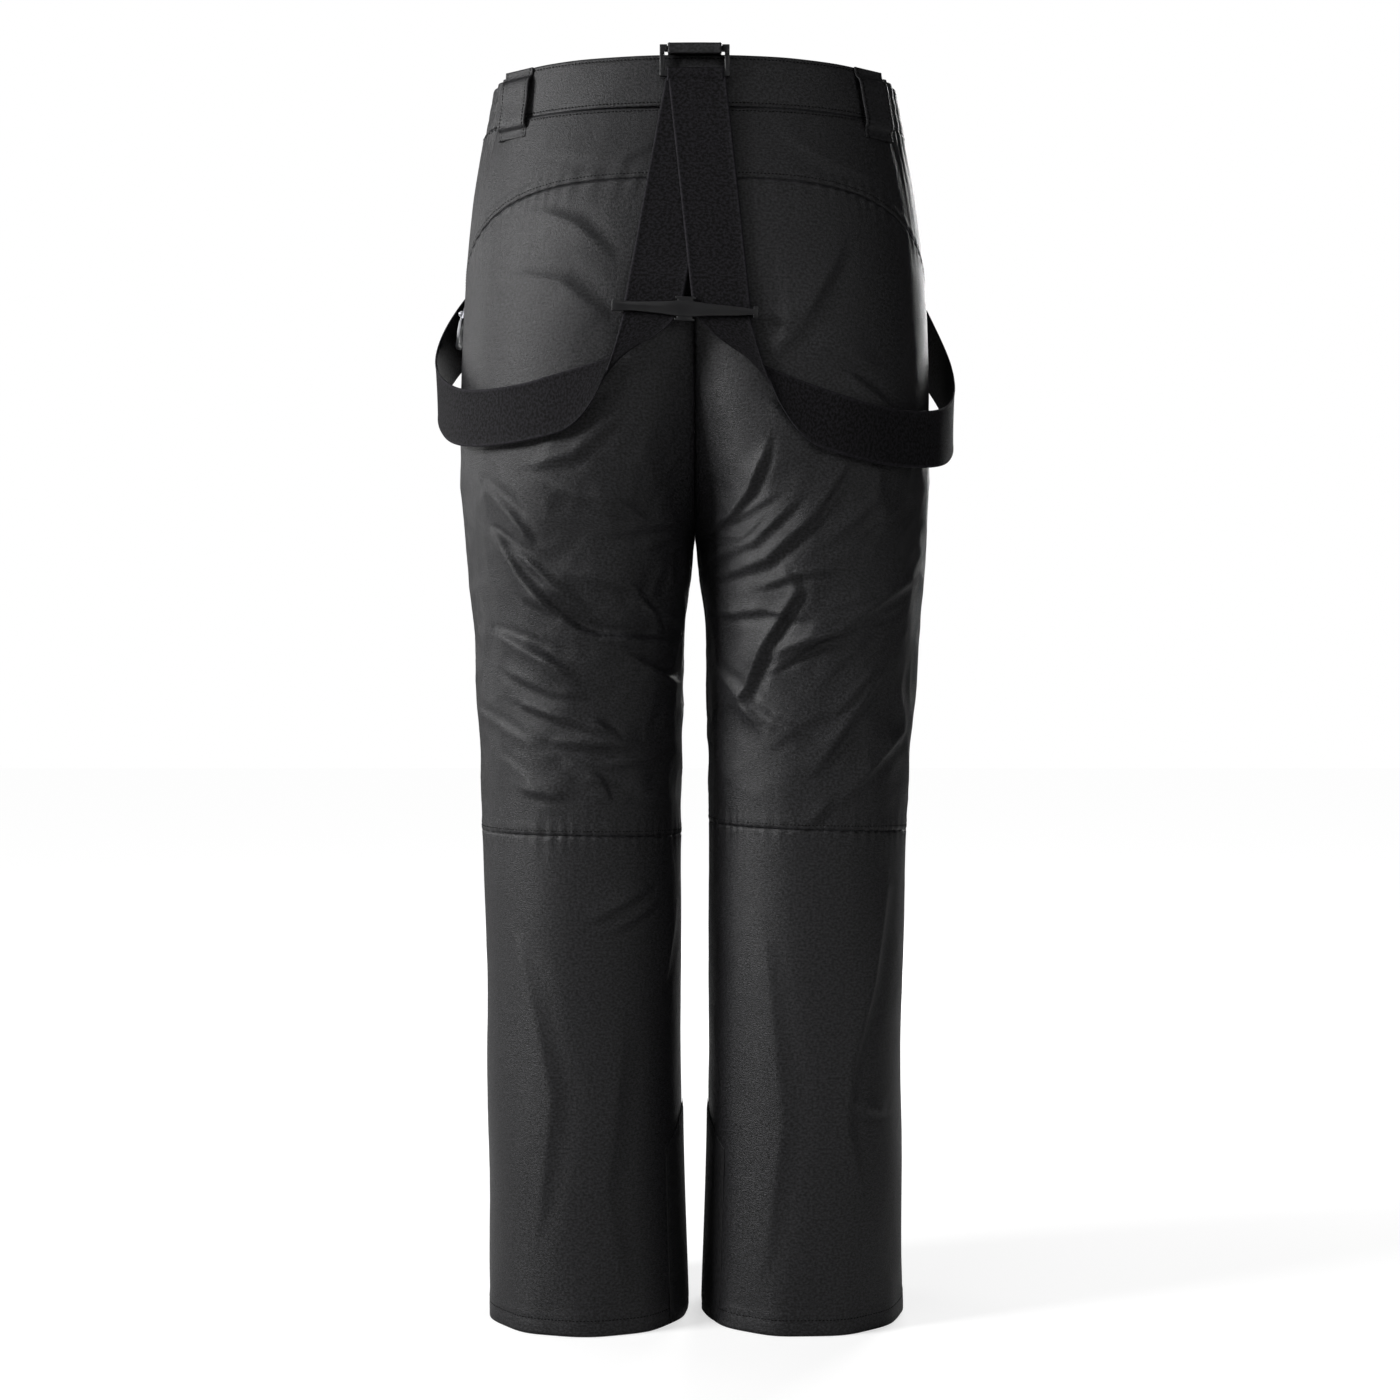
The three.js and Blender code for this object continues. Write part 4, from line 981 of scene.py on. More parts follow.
def strip(
    name, line, outward, wide, thick, finish, edge=0.0, across=None, isLevel=False, ripple=0.0, taper=None
):
    # line and outward are rows of points; edge is how much thicker the two woven edges are
    line = np.asarray(line, float)
    along = unit(np.gradient(line, axis=0))
    if across is None:
        across = unit(np.cross(along, outward))
        if isLevel:
            across[:, 2] = 0
            across = unit(across)
    out = unit(np.cross(across, along))
    half = wide / 2
    s = np.array([-half, -half + 0.35, -half + 0.9, -half + 1.7, -half + 2.6, -half * 0.66, -half * 0.33, 0])
    s = np.r_[s, -s[-2::-1]]
    rim = np.clip((np.abs(s) - (half - 2.6)) / 1.0, 0, 1)
    rounding = np.sqrt(np.clip((half - np.abs(s)) / 0.9, 0.12, 1))
    up = (thick / 2 + edge * rim) * rounding
    run = np.arange(len(line))[:, None] * 1.0
    wave = ripple * np.sin(run / 3.1 + s[None, :] / 9) * np.sin(run / 7.7)
    width = np.ones(len(line)) if taper is None else taper
    base = line[:, None, :] + across[:, None, :] * (s[None, :] * width[:, None])[..., None]
    base = base + out[:, None, :] * wave[..., None]
    outer = base + out[:, None, :] * up[None, :, None]
    inner = base - out[:, None, :] * up[None, :, None]
    middle = line[:, None, :] + across[:, None, :] * s[None, :, None]
    return closedSheet(name, outer, inner, gridUv(middle), finish), middle


lineSteps = 9
brace = dict(
    wide=48, thick=1.5, edge=0.22, clearance=1.4, lift=2.2,
    plateHeight=856, plateLeft=35, plateRight=-22.5, plateCentre=8, plateTilt=math.radians(2.9),
)
buckle = dict(wide=58, tall=25, bar=4, thick=4, top=1077, loopThick=1.6, room=1.2, gap=0.4, bandDepth=114)
buckleY = buckle["bandDepth"] + 2 * buckle["gap"] + buckle["loopThick"] + buckle["thick"] / 2 + 1
strapTopZ = buckle["top"] - buckle["tall"] - buckle["gap"]
plateReach = 12  # the plate and its tabs, above and below the middle
strapFootZ = brace["plateHeight"] - plateReach - 3


def depthAt(x, z, face):
    centre, wide, back, front = section(z)
    across = np.minimum(np.abs(np.abs(x) - centre) / wide, 1)
    return face * np.where(face > 0, back, front) * (1 - across ** p["roundness"]) ** (1 / p["roundness"])


def clothUnder(x, z):
    return max(float(depthAt(x + share * brace["wide"], z, 1)) for share in (-0.5, -0.25, 0, 0.25, 0.5))


plateHigh = brace["plateHeight"] + plateReach + 4
plateLayer = 3 + 0.8 + brace["clearance"] + max(
    clothUnder(x, z) for z in (strapFootZ - 2, plateHigh) for x in (brace["plateLeft"], brace["plateRight"])
)


def plateLine(x):
    # the plate hangs a little lower on the right
    return brace["plateHeight"] + (x - brace["plateCentre"]) * math.tan(brace["plateTilt"])


def makeBackStrap(name, topX, plateX, lift, node):
    heights = [strapTopZ, 1020, 985, 950, plateHigh + 24, plateHigh + 9, plateHigh, plateLine(plateX) - 1.2]
    points = []
    for z in heights:
        share = (strapTopZ - z) / (strapTopZ - brace["plateHeight"])
        x = topX + (plateX - topX) * share
        if z <= plateHigh + 9:
            points.append((x, plateLayer, z))
        else:
            rest = clothUnder(x, z) + brace["clearance"] + 0.8
            points.append((x, max(rest, buckleY + (plateLayer - buckleY) * share) + lift, z))
    line = curveThrough(points, lineSteps)
    facing = np.tile([0.0, 1.0, 0.0], (len(line), 1))
    piece, flat = strip(
        name, line, facing, brace["wide"], brace["thick"], braceElastic, brace["edge"],
        isLevel=True, ripple=0.12,
    )
    sewOn(piece, "strap_elastic", node, body="rear_harness", flat=flat)


makeBackStrap("backStrapLeft", 0, brace["plateLeft"], 0, "back_strap_left")
makeBackStrap("backStrapRight", -2, brace["plateRight"], brace["lift"], "back_strap_right")


def offBody(degrees, z, stand):
    angle = math.radians(degrees)
    across, deep = math.sin(angle), math.cos(angle)
    centre, wide, back, front = (float(v) for v in section(z))
    depth = back if deep >= 0 else front
    low, high = 20.0, 500.0
    for _ in range(40):
        r = (low + high) / 2
        size = abs((abs(r * across) - centre) / wide) ** p["roundness"]
        size += abs(r * deep / depth) ** p["roundness"]
        low, high = (low, r) if size > 1 else (r, high)
    return np.array([(low + stand) * across, (low + stand) * deep, z])


def outOfBody(degrees, z):
    step = offBody(degrees + 2, z, 0) - offBody(degrees - 2, z, 0)
    return unit(np.array([-step[1], step[0], 0.0]))


def bandPoint(around, z, inset=0.0):
    return bandSkin(np.asarray(float(around)), np.asarray(float(z)), inset)[0].reshape(3)


def frontAngle(x):
    turn = math.asin((abs(x) / p["waistHalf"]) ** (p["roundness"] / 2))
    return math.pi + turn if x < 0 else math.pi - turn


def waistFrame(around, z):
    point = bandPoint(around, z)
    along = unit(bandPoint(around + 0.01, z) - bandPoint(around - 0.01, z))
    outward = np.array([along[1], -along[0], 0.0])
    if outward @ point < 0:
        outward = -outward
    up = bandPoint(around, p["waistTop"]) - bandPoint(around, p["waistSeam"])
    up = unit(up - along * (up @ along))
    return point, outward, up


# each stop is (degrees from the middle of the back, height, stand off the cloth)
sideStops = {
    "left": [
        (16, strapFootZ - 4, 5), (21, 822, 4), (28, 803, 4), (37, 787, 4), (46, 777, 5), (57, 772, 7),
        (69, 775, 10), (79, 787, 15), (88, 808, 21), (97, 838, 21), (105, 872, 16), (111, 901, 10),
    ],
    "right": [
        (9, strapFootZ - 4, 5), (15, 817, 4), (24, 794, 4), (34, 776, 4), (45, 763, 5), (56, 755, 8),
        (68, 756, 14), (79, 766, 18), (88, 785, 21), (97, 816, 21), (105, 856, 17), (111, 896, 12),
    ],
}
adjusterLow, adjusterHigh = (118, 930, 9), (127, 1000, 9)
hook = dict(axisZ=p["waistSeam"] + 26, x=112, stand=5.5, wide=58, tall=26, bar=4, thick=3)
fan = dict(steps=34, halfWide=0.48, below=2.7, innerLean=0.25, outerLean=0.7, pull=0.9)


def makeSideStrap(side, name):
    stops = sideStops[name]
    place = lambda stop: offBody(side * stop[0], stop[1], stop[2])
    facing = lambda stop: outOfBody(side * stop[0], stop[1])
    point, outward, up = waistFrame(frontAngle(side * hook["x"]), hook["axisZ"])
    below = lambda drop: point + outward * hook["stand"] / 2 - up * drop
    low, high = place(adjusterLow), place(adjusterHigh)
    end = hook["tall"] - hook["bar"] / 2 + 0.4
    points = [place(s) for s in stops] + [low, (low + high) / 2, high, below(end + 8), below(end)]
    flat = unit(facing(adjusterLow) + facing(adjusterHigh))
    faces = [facing(s) for s in stops] + [flat, flat, flat, outward, outward]
    faces[0] = np.array([0.0, 1.0, 0.0])
    line, faces = curveThrough(points, lineSteps), curveThrough(faces, lineSteps)
    along = unit(np.gradient(line, axis=0))
    across = unit(np.cross(along, faces)) * brace["wide"] / 2
    # the first stretch fans out from the plate's own edge, square to it
    turn = fan["steps"]
    middle = brace["plateLeft"] if side > 0 else brace["plateRight"]
    t = np.linspace(0, 1, turn + 1)[:, None]
    edges = []
    for way, lean in ((1, fan["outerLean"]), (-1, fan["innerLean"])):
        startX = middle - side * way * brace["wide"] * fan["halfWide"]
        first = np.array([startX, plateLayer, plateLine(startX) - fan["below"]])
        last = line[turn] + across[turn] * way * side
        pull = np.linalg.norm(last - first) * fan["pull"]
        leaving = unit(np.array([side * lean, -0.02, -1.0])) * pull
        edges.append(hermite(t, first, leaving, last, along[turn] * pull))
    line[: turn + 1] = (edges[0] + edges[1]) / 2
    across[: turn + 1] = (edges[0] - edges[1]) / 2 * side
    width = np.linalg.norm(across, axis=1) * 2 / brace["wide"]
    across = unit(across)
    cut = lineSteps * 8  # the two lengths meet beside the hip
    title = name.capitalize()
    node = f"side_strap_{name}"
    halves = (("Rear", slice(0, cut + 1), "rear_harness"), ("Front", slice(cut, None), f"hook_{name}"))
    for half, part, target in halves:
        piece, flatCut = strip(
            f"sideStrap{half}{title}", line[part], faces[part], brace["wide"], brace["thick"], braceElastic,
            brace["edge"], across=across[part], ripple=0.1, taper=width[part],
        )
        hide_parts(node)
        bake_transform(piece)
    return (low + high) / 2, high - low, flat, point, outward, up


strapFrames = {name: makeSideStrap(side, name) for side, name in sides}
print("straps hung")


# ---- loops: sewn flat at both ends, standing off between them
loops = dict(
    thick=1.5, gap=0.4, foot=7, rise=4, stand=6.8, backStand=3.4, anchorStand=5.5, overhang=17,
    backAngle=0.97, backWide=31, frontX=66, frontWide=21, anchorWide=38,
)


def makeLoop(name, around, wide, top, bottom, stand, node, slant=0.0, crease=0.0, turned=0.0):
    point, outward, _ = waistFrame(around, top)
    outward = unit(outward + np.array([0, turned, 0]))
    seat = loops["gap"] + 0.8 + 6 * turned
    bow = seat + stand
    foot, rise = loops["foot"], loops["rise"]
    profileLine = [
        (top, seat), (top - foot, seat), (top - foot - rise, bow), ((top + bottom) / 2, bow + crease),
        (bottom + foot + rise, bow), (bottom + foot, seat), (bottom, seat),
    ]
    across = np.array([outward[1], -outward[0], 0.0])
    line = []
    for z, out in profileLine:
        onBand = bandPoint(around, z)
        reach = (onBand - point) @ outward
        lean = slant * (z - (top + bottom) / 2) / (top - bottom)
        base = np.array([point[0], point[1], 0.0])
        line.append(base + outward * (reach + out) + across * lean + np.array([0, 0, z]))
    line = curveThrough(line, 6)
    facing = np.tile(outward, (len(line), 1))
    sideways = np.tile(across, (len(line), 1))
    piece, flat = strip(
        name, line, facing, wide, loops["thick"], shellCloth, 0.25, across=sideways, ripple=0.12
    )
    sewOn(piece, "shell_cloth", node, flat=flat)
    for offset in (-wide / 2 + 3, wide / 2 - 3):
        seam = line + sideways * offset + facing * (loops["thick"] / 2 + 0.05)
        stitchRow(f"{name}Stitch{'A' if offset < 0 else 'B'}", seam, facing)


stitch = dict(pitch=3.1, long=2.3, wide=0.8, tall=0.4)


def stitchRow(name, path, normals):
    # one small lens of thread for each stitch along the path
    run = np.r_[0, np.cumsum(np.linalg.norm(np.diff(path, axis=0), axis=1))]

    def follow(values, at):
        return np.stack([np.interp(at, run, values[:, k]) for k in range(3)], -1)

    at = np.arange(stitch["pitch"] / 2, run[-1], stitch["pitch"])
    middle = follow(path, at)
    along = unit(follow(path, at + 0.5) - follow(path, at - 0.5))
    normal = follow(normals, at)
    cross = unit(np.cross(normal, along))
    normal = unit(np.cross(along, cross))
    long, wide, tall = stitch["long"] / 2, stitch["wide"] / 2, stitch["tall"]
    corners = []
    for a, c, n in ((-1, 0, 0), (-0.45, -1, 0.3), (-0.45, 0, 1), (-0.45, 1, 0.3), (-0.45, 0, -0.6),
                    (0.45, -1, 0.3), (0.45, 0, 1), (0.45, 1, 0.3), (0.45, 0, -0.6), (1, 0, 0)):
        corners.append(middle + along * a * long + cross * c * wide + normal * n * tall)
    points = toFrame(np.stack(corners, 1))
    faces = (
        (1, 5, 6, 2), (2, 6, 7, 3), (3, 7, 8, 4), (4, 8, 5, 1), (0, 1, 2), (0, 2, 3), (0, 3, 4), (0, 4, 1),
        (9, 6, 5), (9, 7, 6), (9, 8, 7), (9, 5, 8),
    )
    mesh = bpy.data.meshes.new(name)
    every = [tuple(v + 10 * k for v in face) for k in range(len(middle)) for face in faces]
    mesh.from_pydata(points.tolist(), [], every)
    mesh.update()
    mesh.shade_smooth()
    layer = mesh.uv_layers.new(name="weave")
    corner = np.zeros(len(mesh.loops), np.int32)
    mesh.loops.foreach_get("vertex_index", corner)
    layer.data.foreach_set("uv", points[corner][:, [0, 2]].astype(np.float32).ravel())
    mesh.materials.append(stitchThreadPaintedShade)
    piece = bpy.data.objects.new(name, mesh)
    scene.collection.objects.link(piece)
    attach(piece, "root")


loopTop, loopFoot = p["waistTop"] - 0.5, p["waistSeam"] - loops["overhang"]
for side, name in sides:
    title = name.capitalize()
    makeLoop(
        f"beltLoopBack{title}", side * loops["backAngle"], loops["backWide"], loopTop, loopFoot,
        loops["backStand"], f"belt_loop_back_{name}", slant=0 if side > 0 else 5,
        crease=0 if side > 0 else 0.6, turned=0.2,
    )
    makeLoop(
        f"beltLoopFront{title}", frontAngle(side * loops["frontX"]), loops["frontWide"], loopTop, loopFoot,
        loops["stand"], f"belt_loop_front_{name}",
    )
    makeLoop(
        f"frontAnchorLoop{title}", frontAngle(side * hook["x"]), loops["anchorWide"], p["waistTop"] - 1.5,
        p["waistSeam"] + 9, loops["anchorStand"], f"front_anchor_loop_{name}",
    )


def acrossStrip(name, x, path, steps, wide, thick, finish, edge, ripple):
    # a strip that lies level across the garment and follows a (y, z) path
    line = curveThrough([(x, y, z) for y, z in path], steps)
    across = np.tile([1.0, 0, 0], (len(line), 1))
    return strip(name, line, None, wide, thick, finish, edge, across=across, ripple=ripple)


def makeRearAnchor():
    # sewn inside the band, over its top edge, and round the buckle's upper bar
    inside = buckle["bandDepth"] - band["wall"] - 0.8 - buckle["loopThick"]
    over = p["waistTop"] + 0.4 + 0.8
    reach = buckle["thick"] / 2 + buckle["room"] + 1.1
    crown = buckle["top"] + buckle["room"] + 0.8
    path = [
        (inside, p["waistTop"] - 24), (inside, p["waistTop"] - 10), (inside, over - 2), (inside + 1.8, over),
        (buckleY - reach, over + 0.4), (buckleY - reach, crown - 2), (buckleY - reach + 1.4, crown - 0.2),
        (buckleY + reach - 1.4, crown - 0.2), (buckleY + reach, crown - 2),
        (buckleY + reach - 0.4, buckle["top"] - 6.5),
    ]
    piece, flat = acrossStrip("rearAnchorLoop", 0, path, 5, 44.6, 1.5, shellCloth, 0.15, 0.1)
    sewOn(piece, "grey_webbing", "rear_anchor_loop", flat=flat)


makeRearAnchor()


def makeStrapEnd():
    # the braces' folded end comes up behind the buckle and over its lower bar
    barZ = buckle["top"] - buckle["tall"] + buckle["bar"] / 2
    path = [
        (buckleY - 1.6, barZ - 9), (buckleY - 3.0, barZ - 2), (buckleY - 3.1, barZ + 2.2),
        (buckleY - 1.6, barZ + 4.6), (buckleY + 1.0, barZ + 5.2), (buckleY + 2.9, barZ + 3.6),
        (buckleY + 3.3, barZ - 1), (buckleY + 2.4, barZ - 6),
    ]
    piece, flat = acrossStrip("strapEnd", -0.5, path, 6, 47, 1.3, braceElastic, 0.2, 0.3)
    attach(piece, "rear_harness")


makeStrapEnd()

tab = dict(tall=34, base=28, reach=50, thick=1.5, lift=2.4, height=22, nose=0.09)


def makeTab():
    start, stop = frontAngle(tab["base"]), frontAngle(-tab["reach"])
    around = np.linspace(start, stop, 60)[None, :]
    v = np.linspace(-1, 1, 24)[:, None]
    intoNose = np.clip((around - stop + tab["nose"]) / tab["nose"], 0, 1)
    nose = np.sqrt(np.clip(1 - intoNose ** 2, 0.2, 1))
    z = p["waistSeam"] + tab["height"] + v * tab["tall"] / 2 * nose
    around = around + 0 * z
    rim = np.clip((1 - np.abs(v)) * 9, 0, 1) * np.clip((stop - around) * 90, 0, 1)
    soft = 0.45 + 0.55 * rim ** 0.5
    plain, normal = bandSkin(around, z, -tab["lift"])
    outer = plain + normal * (tab["thick"] * soft - 0.35 * ridge(rim - 0.5, 0.2))[..., None]
    piece = closedSheet("waistTab", outer, plain, gridUv(plain), shellCloth)
    sewOn(piece, "shell_cloth", "waist_tab", body="waist_tab", flat=plain)


makeTab()


placket = dict(foot=874, top=1024, edge=7.4, wide=34, footShare=0.45, flare=75, stand=1.6, thick=1.3)


def makePlacket():
    z = np.linspace(placket["foot"], placket["top"], 70)[:, None]
    share = np.linspace(0, 1, 24)[None, :]
    wide = placket["wide"] * np.minimum(1, placket["footShare"] + (z - placket["foot"]) / placket["flare"])
    x = placket["edge"] + wide * share
    z = z + 0 * share
    inside = depthAt(x, z, -1) - placket["stand"]
    rim = np.clip(np.minimum(share, 1 - share) * 12, 0, 1)
    stitched = 0.3 * ridge(wide * (1 - share) - 4, 0.9)
    outer = np.stack([x, inside - placket["thick"] * (0.5 + 0.5 * rim ** 0.5) + stitched, z], -1)
    inner = np.stack([x, inside, z], -1)
    piece = closedSheet("flyPlacket", outer, inner, gridUv(inner), shellCloth)
    sewOn(piece, "shell_cloth", "fly_placket", flat=inner)


makePlacket()
print("loops and tab sewn")


# ---- stitching along the seams
def seamPath(side, face, heightAt, count, offset=0.0):
    share = np.linspace(0.004, 0.996, count)
    z = heightAt(share) + offset
    phi = face * startAngle(z) * (1 - share)
    return cloth(side, z, phi, -0.05), skinNormal(side, z, phi)


for side, name in sides:
    title = name.capitalize()
    knee = kneeOf(side)
    stitchRow(f"yokeStitch{title}", *seamPath(side, 1, yokeLine, 160, 4.2))
    for face, where in ((1, "Back"), (-1, "Front")):
        stitchRow(f"kneeStitch{where}{title}", *seamPath(side, face, knee, 160, 4.0))
        stitchRow(f"hemStitch{where}{title}", *seamPath(side, face, level(13.0), 160))
        stitchRow(f"waistStitch{where}{title}", *seamPath(side, face, level(p["waistSeam"] - 3.4), 160))


def bandStitch(name, z, start, stop):
    around = np.linspace(start, stop, 260)
    plain, normal = bandSkin(around, np.full_like(around, z), -0.1)
    stitchRow(name, plain, normal)


bandStitch("bandStitchBackTop", p["waistTop"] - band["stitchAt"], -backEnd, backEnd)
bandStitch("bandStitchBackLow", p["waistSeam"] + band["stitchAt"], -backEnd, backEnd)
bandStitch("bandStitchFrontLeftTop", p["waistTop"] - band["stitchAt"], frontEnd, math.pi - 0.01)
bandStitch("bandStitchFrontRightTop", p["waistTop"] - band["stitchAt"], -math.pi + 0.01, -frontEnd)


# ---- hard pieces, modelled from primitives; their own sizes are in millimetres
def metres(*values):
    return tuple(v * 0.001 for v in values)


def drawOut(x, y, z):
    bpy.ops.mesh.extrude_region_move(TRANSFORM_OT_translate={"value": metres(x, y, z)})


def shift(x, y, z):
    bpy.ops.transform.translate(value=metres(x, y, z))


def stretch(x, y, z, about=None):
    # about the middle of what is picked, unless a point is given
    if about is None:
        bpy.ops.transform.resize(value=(x, y, z))
    else:
        bpy.ops.transform.resize(value=(x, y, z), center_override=metres(*about))


def insetFaces(width):
    bpy.ops.mesh.inset(thickness=width * 0.001, use_even_offset=True)


def editMode():
    bpy.ops.object.mode_set(mode="EDIT")


def objectMode():
    if bpy.context.mode != "OBJECT":
        bpy.ops.object.mode_set(mode="OBJECT")


def newPiece(name, finish):
    piece = bpy.context.object
    piece.name = name
    piece.data.name = name
    piece.data.materials.append(finish)
    return piece


def blockOf(name, size, at, finish):
    objectMode()
    bpy.ops.object.select_all(action="DESELECT")
    bpy.ops.mesh.primitive_cube_add(size=0.001, location=(0, 0, 0))
    piece = newPiece(name, finish)
    editMode()
    stretch(*size)
    shift(*at)
    return piece


def pickFaces(piece, test):
    bpy.ops.mesh.select_mode(type="FACE")
    bpy.ops.mesh.select_all(action="DESELECT")
    cage = bmesh.from_edit_mesh(piece.data)
    for face in cage.faces:
        face.select_set(bool(test(face.calc_center_median() * 1000, face.normal)))
    bmesh.update_edit_mesh(piece.data)


def pickPoints(piece, test):
    bpy.ops.mesh.select_mode(type="VERT")
    bpy.ops.mesh.select_all(action="DESELECT")
    cage = bmesh.from_edit_mesh(piece.data)
    for vert in cage.verts:
        vert.select_set(bool(test(vert.co * 1000)))
    cage.select_flush_mode()
    bmesh.update_edit_mesh(piece.data)


def cutAcross(at, normal):
    bpy.ops.mesh.select_all(action="SELECT")
    bpy.ops.mesh.bisect(plane_co=metres(*at), plane_no=normal)


def finishPiece(piece, place, bevel, segments=3):
    # rounds the edges, shades them, and puts the piece where it belongs
    editMode()
    bpy.ops.mesh.select_all(action="SELECT")
    bpy.ops.mesh.remove_doubles(threshold=0.00002)
    bpy.ops.mesh.normals_make_consistent(inside=False)
    objectMode()
    rim = piece.modifiers.new("rim", "BEVEL")
    rim.width = bevel * 0.001
    rim.segments = segments
    rim.limit_method = "ANGLE"
    rim.angle_limit = math.radians(30)
    bpy.ops.object.modifier_apply(modifier=rim.name)
    piece.data.transform(place)
    bpy.ops.object.select_all(action="DESELECT")
    piece.select_set(True)
    bpy.context.view_layer.objects.active = piece
    bpy.ops.object.shade_smooth_by_angle(angle=math.radians(35))
    return piece


def standing(point, along, outward):
    # local Z along, local Y outwards, at a point in the garment's millimetres
    up = unit(np.asarray(along, float))
    sideways = unit(np.cross(outward, up))
    out = np.cross(up, sideways)
    place = Matrix.Identity(4)
    for row in range(3):
        place[row][0], place[row][1], place[row][2] = sideways[row], out[row], up[row]
    place.translation = Vector(toFrame(point)[0])
    return place


def fit(piece, body, slotName, *nodes):
    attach(piece, body)
    if nodes:
        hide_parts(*nodes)


def barFrame(name, sizes, middle=(0, 0, 0)):
    # a rectangle with a window: both faces are inset, and the inner faces bridged through
    frame = blockOf(name, (sizes["wide"], sizes["thick"], sizes["tall"]), middle, blackPlastic)
    pickFaces(frame, lambda c, n: abs(n.y) > 0.9)
    insetFaces(sizes["bar"])
    bpy.ops.mesh.bridge_edge_loops()
    return frame


def makeBuckle():
    b = buckle
    piece = barFrame("rearBuckle", b)
    top = b["tall"] / 2
    corner = b["wide"] / 2 - 6.3
    for x in (-b["wide"] / 2 + 6.2, b["wide"] / 2 - 6.2):
        cutAcross((x, 0, 0), (1, 0, 0))
    for z in (top - 6.5, -top + 5.2):
        cutAcross((0, 0, z), (0, 0, 1))
    # posts at the top corners, and a heavier lower bar
    pickFaces(piece, lambda c, n: n.y > 0.9 and abs(c.x) > corner and c.z > top - 6.6)
    drawOut(0, 1.3, 0)
    pickFaces(piece, lambda c, n: n.y > 0.9 and abs(c.x) > corner and c.z < -top + 5.3)
    drawOut(0, 0.9, 0)
    pickFaces(piece, lambda c, n: n.z > 0.9 and c.z > top - 0.1 and abs(c.x) > corner)
    drawOut(0, 0, 1.1)
    place = standing((0, buckleY, b["top"] - top), (0, 0, 1), (0, 1, 0))
    finishPiece(piece, place, 0.55)
    fit(piece, "rear_harness", "black_plastic", "rear_buckle")


plate = dict(half=60, middle=8, hook=3.5, tall=12, thick=3, tip=2, bar=2, room=1.15)


def makeCrossPlate():
    # a slim diamond in front, drawn out to both sides from its middle, with a bar behind the straps
    q = plate
    front = q["room"] + q["thick"] / 2
    piece = blockOf("crossPlate", (2 * q["middle"], q["thick"], q["tall"]), (0, front, 0), blackPlastic)
    reach = q["half"] - q["middle"] - q["hook"]
    for way in (1, -1):
        for step, (share, tall) in enumerate(((0.25, 0.8), (0.5, 0.72), (0.25, 0.62))):
            done = q["middle"] - 0.3 + reach * (0, 0.25, 0.75)[step]
            pickFaces(piece, lambda c, n: n.x * way > 0.7 and abs(c.x) > done)
            drawOut(way * reach * share, 0, 0)
            at = way * (q["middle"] + reach * (0.25, 0.75, 1.0)[step])
            stretch(1, 1, tall, about=(at, front, 0))
        pickFaces(piece, lambda c, n: n.x * way > 0.7 and abs(c.x) > q["middle"] + reach - 0.2)
        drawOut(way * 3.5, 0, 0)
        # the double hook at the tip turns back round the strap's edge
        at = way * (q["half"] - 1.7)
        pickFaces(piece, lambda c, n: n.y < -0.9 and abs(c.x - at) < 0.6)
        drawOut(0, -(2 * q["room"] + q["bar"]), 0)
        pickFaces(
            piece, lambda c, n: abs(n.z) > 0.9 and abs(c.x - at) < 0.6 and abs(c.y - front) < q["thick"]
        )
        bpy.ops.mesh.extrude_region_shrink_fatten(TRANSFORM_OT_shrink_fatten={"value": 0.0024})
    for way, long in ((1, 4), (-1, 3.8)):
        pickFaces(piece, lambda c, n: n.z * way > 0.9 and abs(c.x) < 3 and abs(c.z) > q["tall"] / 2 - 0.3)
        insetFaces(0.5)
        stretch(0.85, 0.9, 1, about=(0, front, way * q["tall"] / 2))
        drawOut(0, 0, way * (long - 1.6))
        # the tab ends in a short crosspiece
        drawOut(0, 0, 0)
        stretch(1.3, 1, 1, about=(0, front, 0))
        drawOut(0, 0, way * 1.6)
    # a raised rib along the middle of the diamond's face
    cutAcross((0, 0, 0.6), (0, 0, 1))
    face = front + q["thick"] / 2 - 0.2
    pickPoints(piece, lambda c: c.y > face and abs(c.z - 0.6) < 0.05 and abs(c.x) < q["half"] - 5)
    shift(0, 1.1, 0)
    lean = brace["plateTilt"]
    middle = (brace["plateCentre"], plateLayer, brace["plateHeight"])
    place = standing(middle, (-math.sin(lean), 0, math.cos(lean)), (0, 1, 0))
    finishPiece(piece, place, 0.45)
    fit(piece, "cross_plate", "black_plastic", "cross_plate")
    barSize = (2 * q["half"] - 2, q["bar"], 2 * q["tip"])
    bar = blockOf("plateBackBar", barSize, (0, -q["room"] - q["bar"] / 2, 0), blackPlastic)
    pickFaces(bar, lambda c, n: n.y < -0.9)
    insetFaces(0.8)
    shift(0, -0.3, 0)
    pickFaces(bar, lambda c, n: abs(n.z) > 0.9)
    insetFaces(0.4)
    post = blockOf("platePost", (2.6, 2 * q["room"] + 0.6, 3.4), (-1.5, 0, 0), blackPlastic)
    pickFaces(post, lambda c, n: abs(n.z) > 0.9)
    insetFaces(0.5)
    finishPiece(post, place, 0.3, 2)
    fit(post, "cross_plate", "black_plastic")
    bpy.context.view_layer.objects.active = bar
    finishPiece(bar, place, 0.35, 2)
    fit(bar, "cross_plate", "black_plastic")


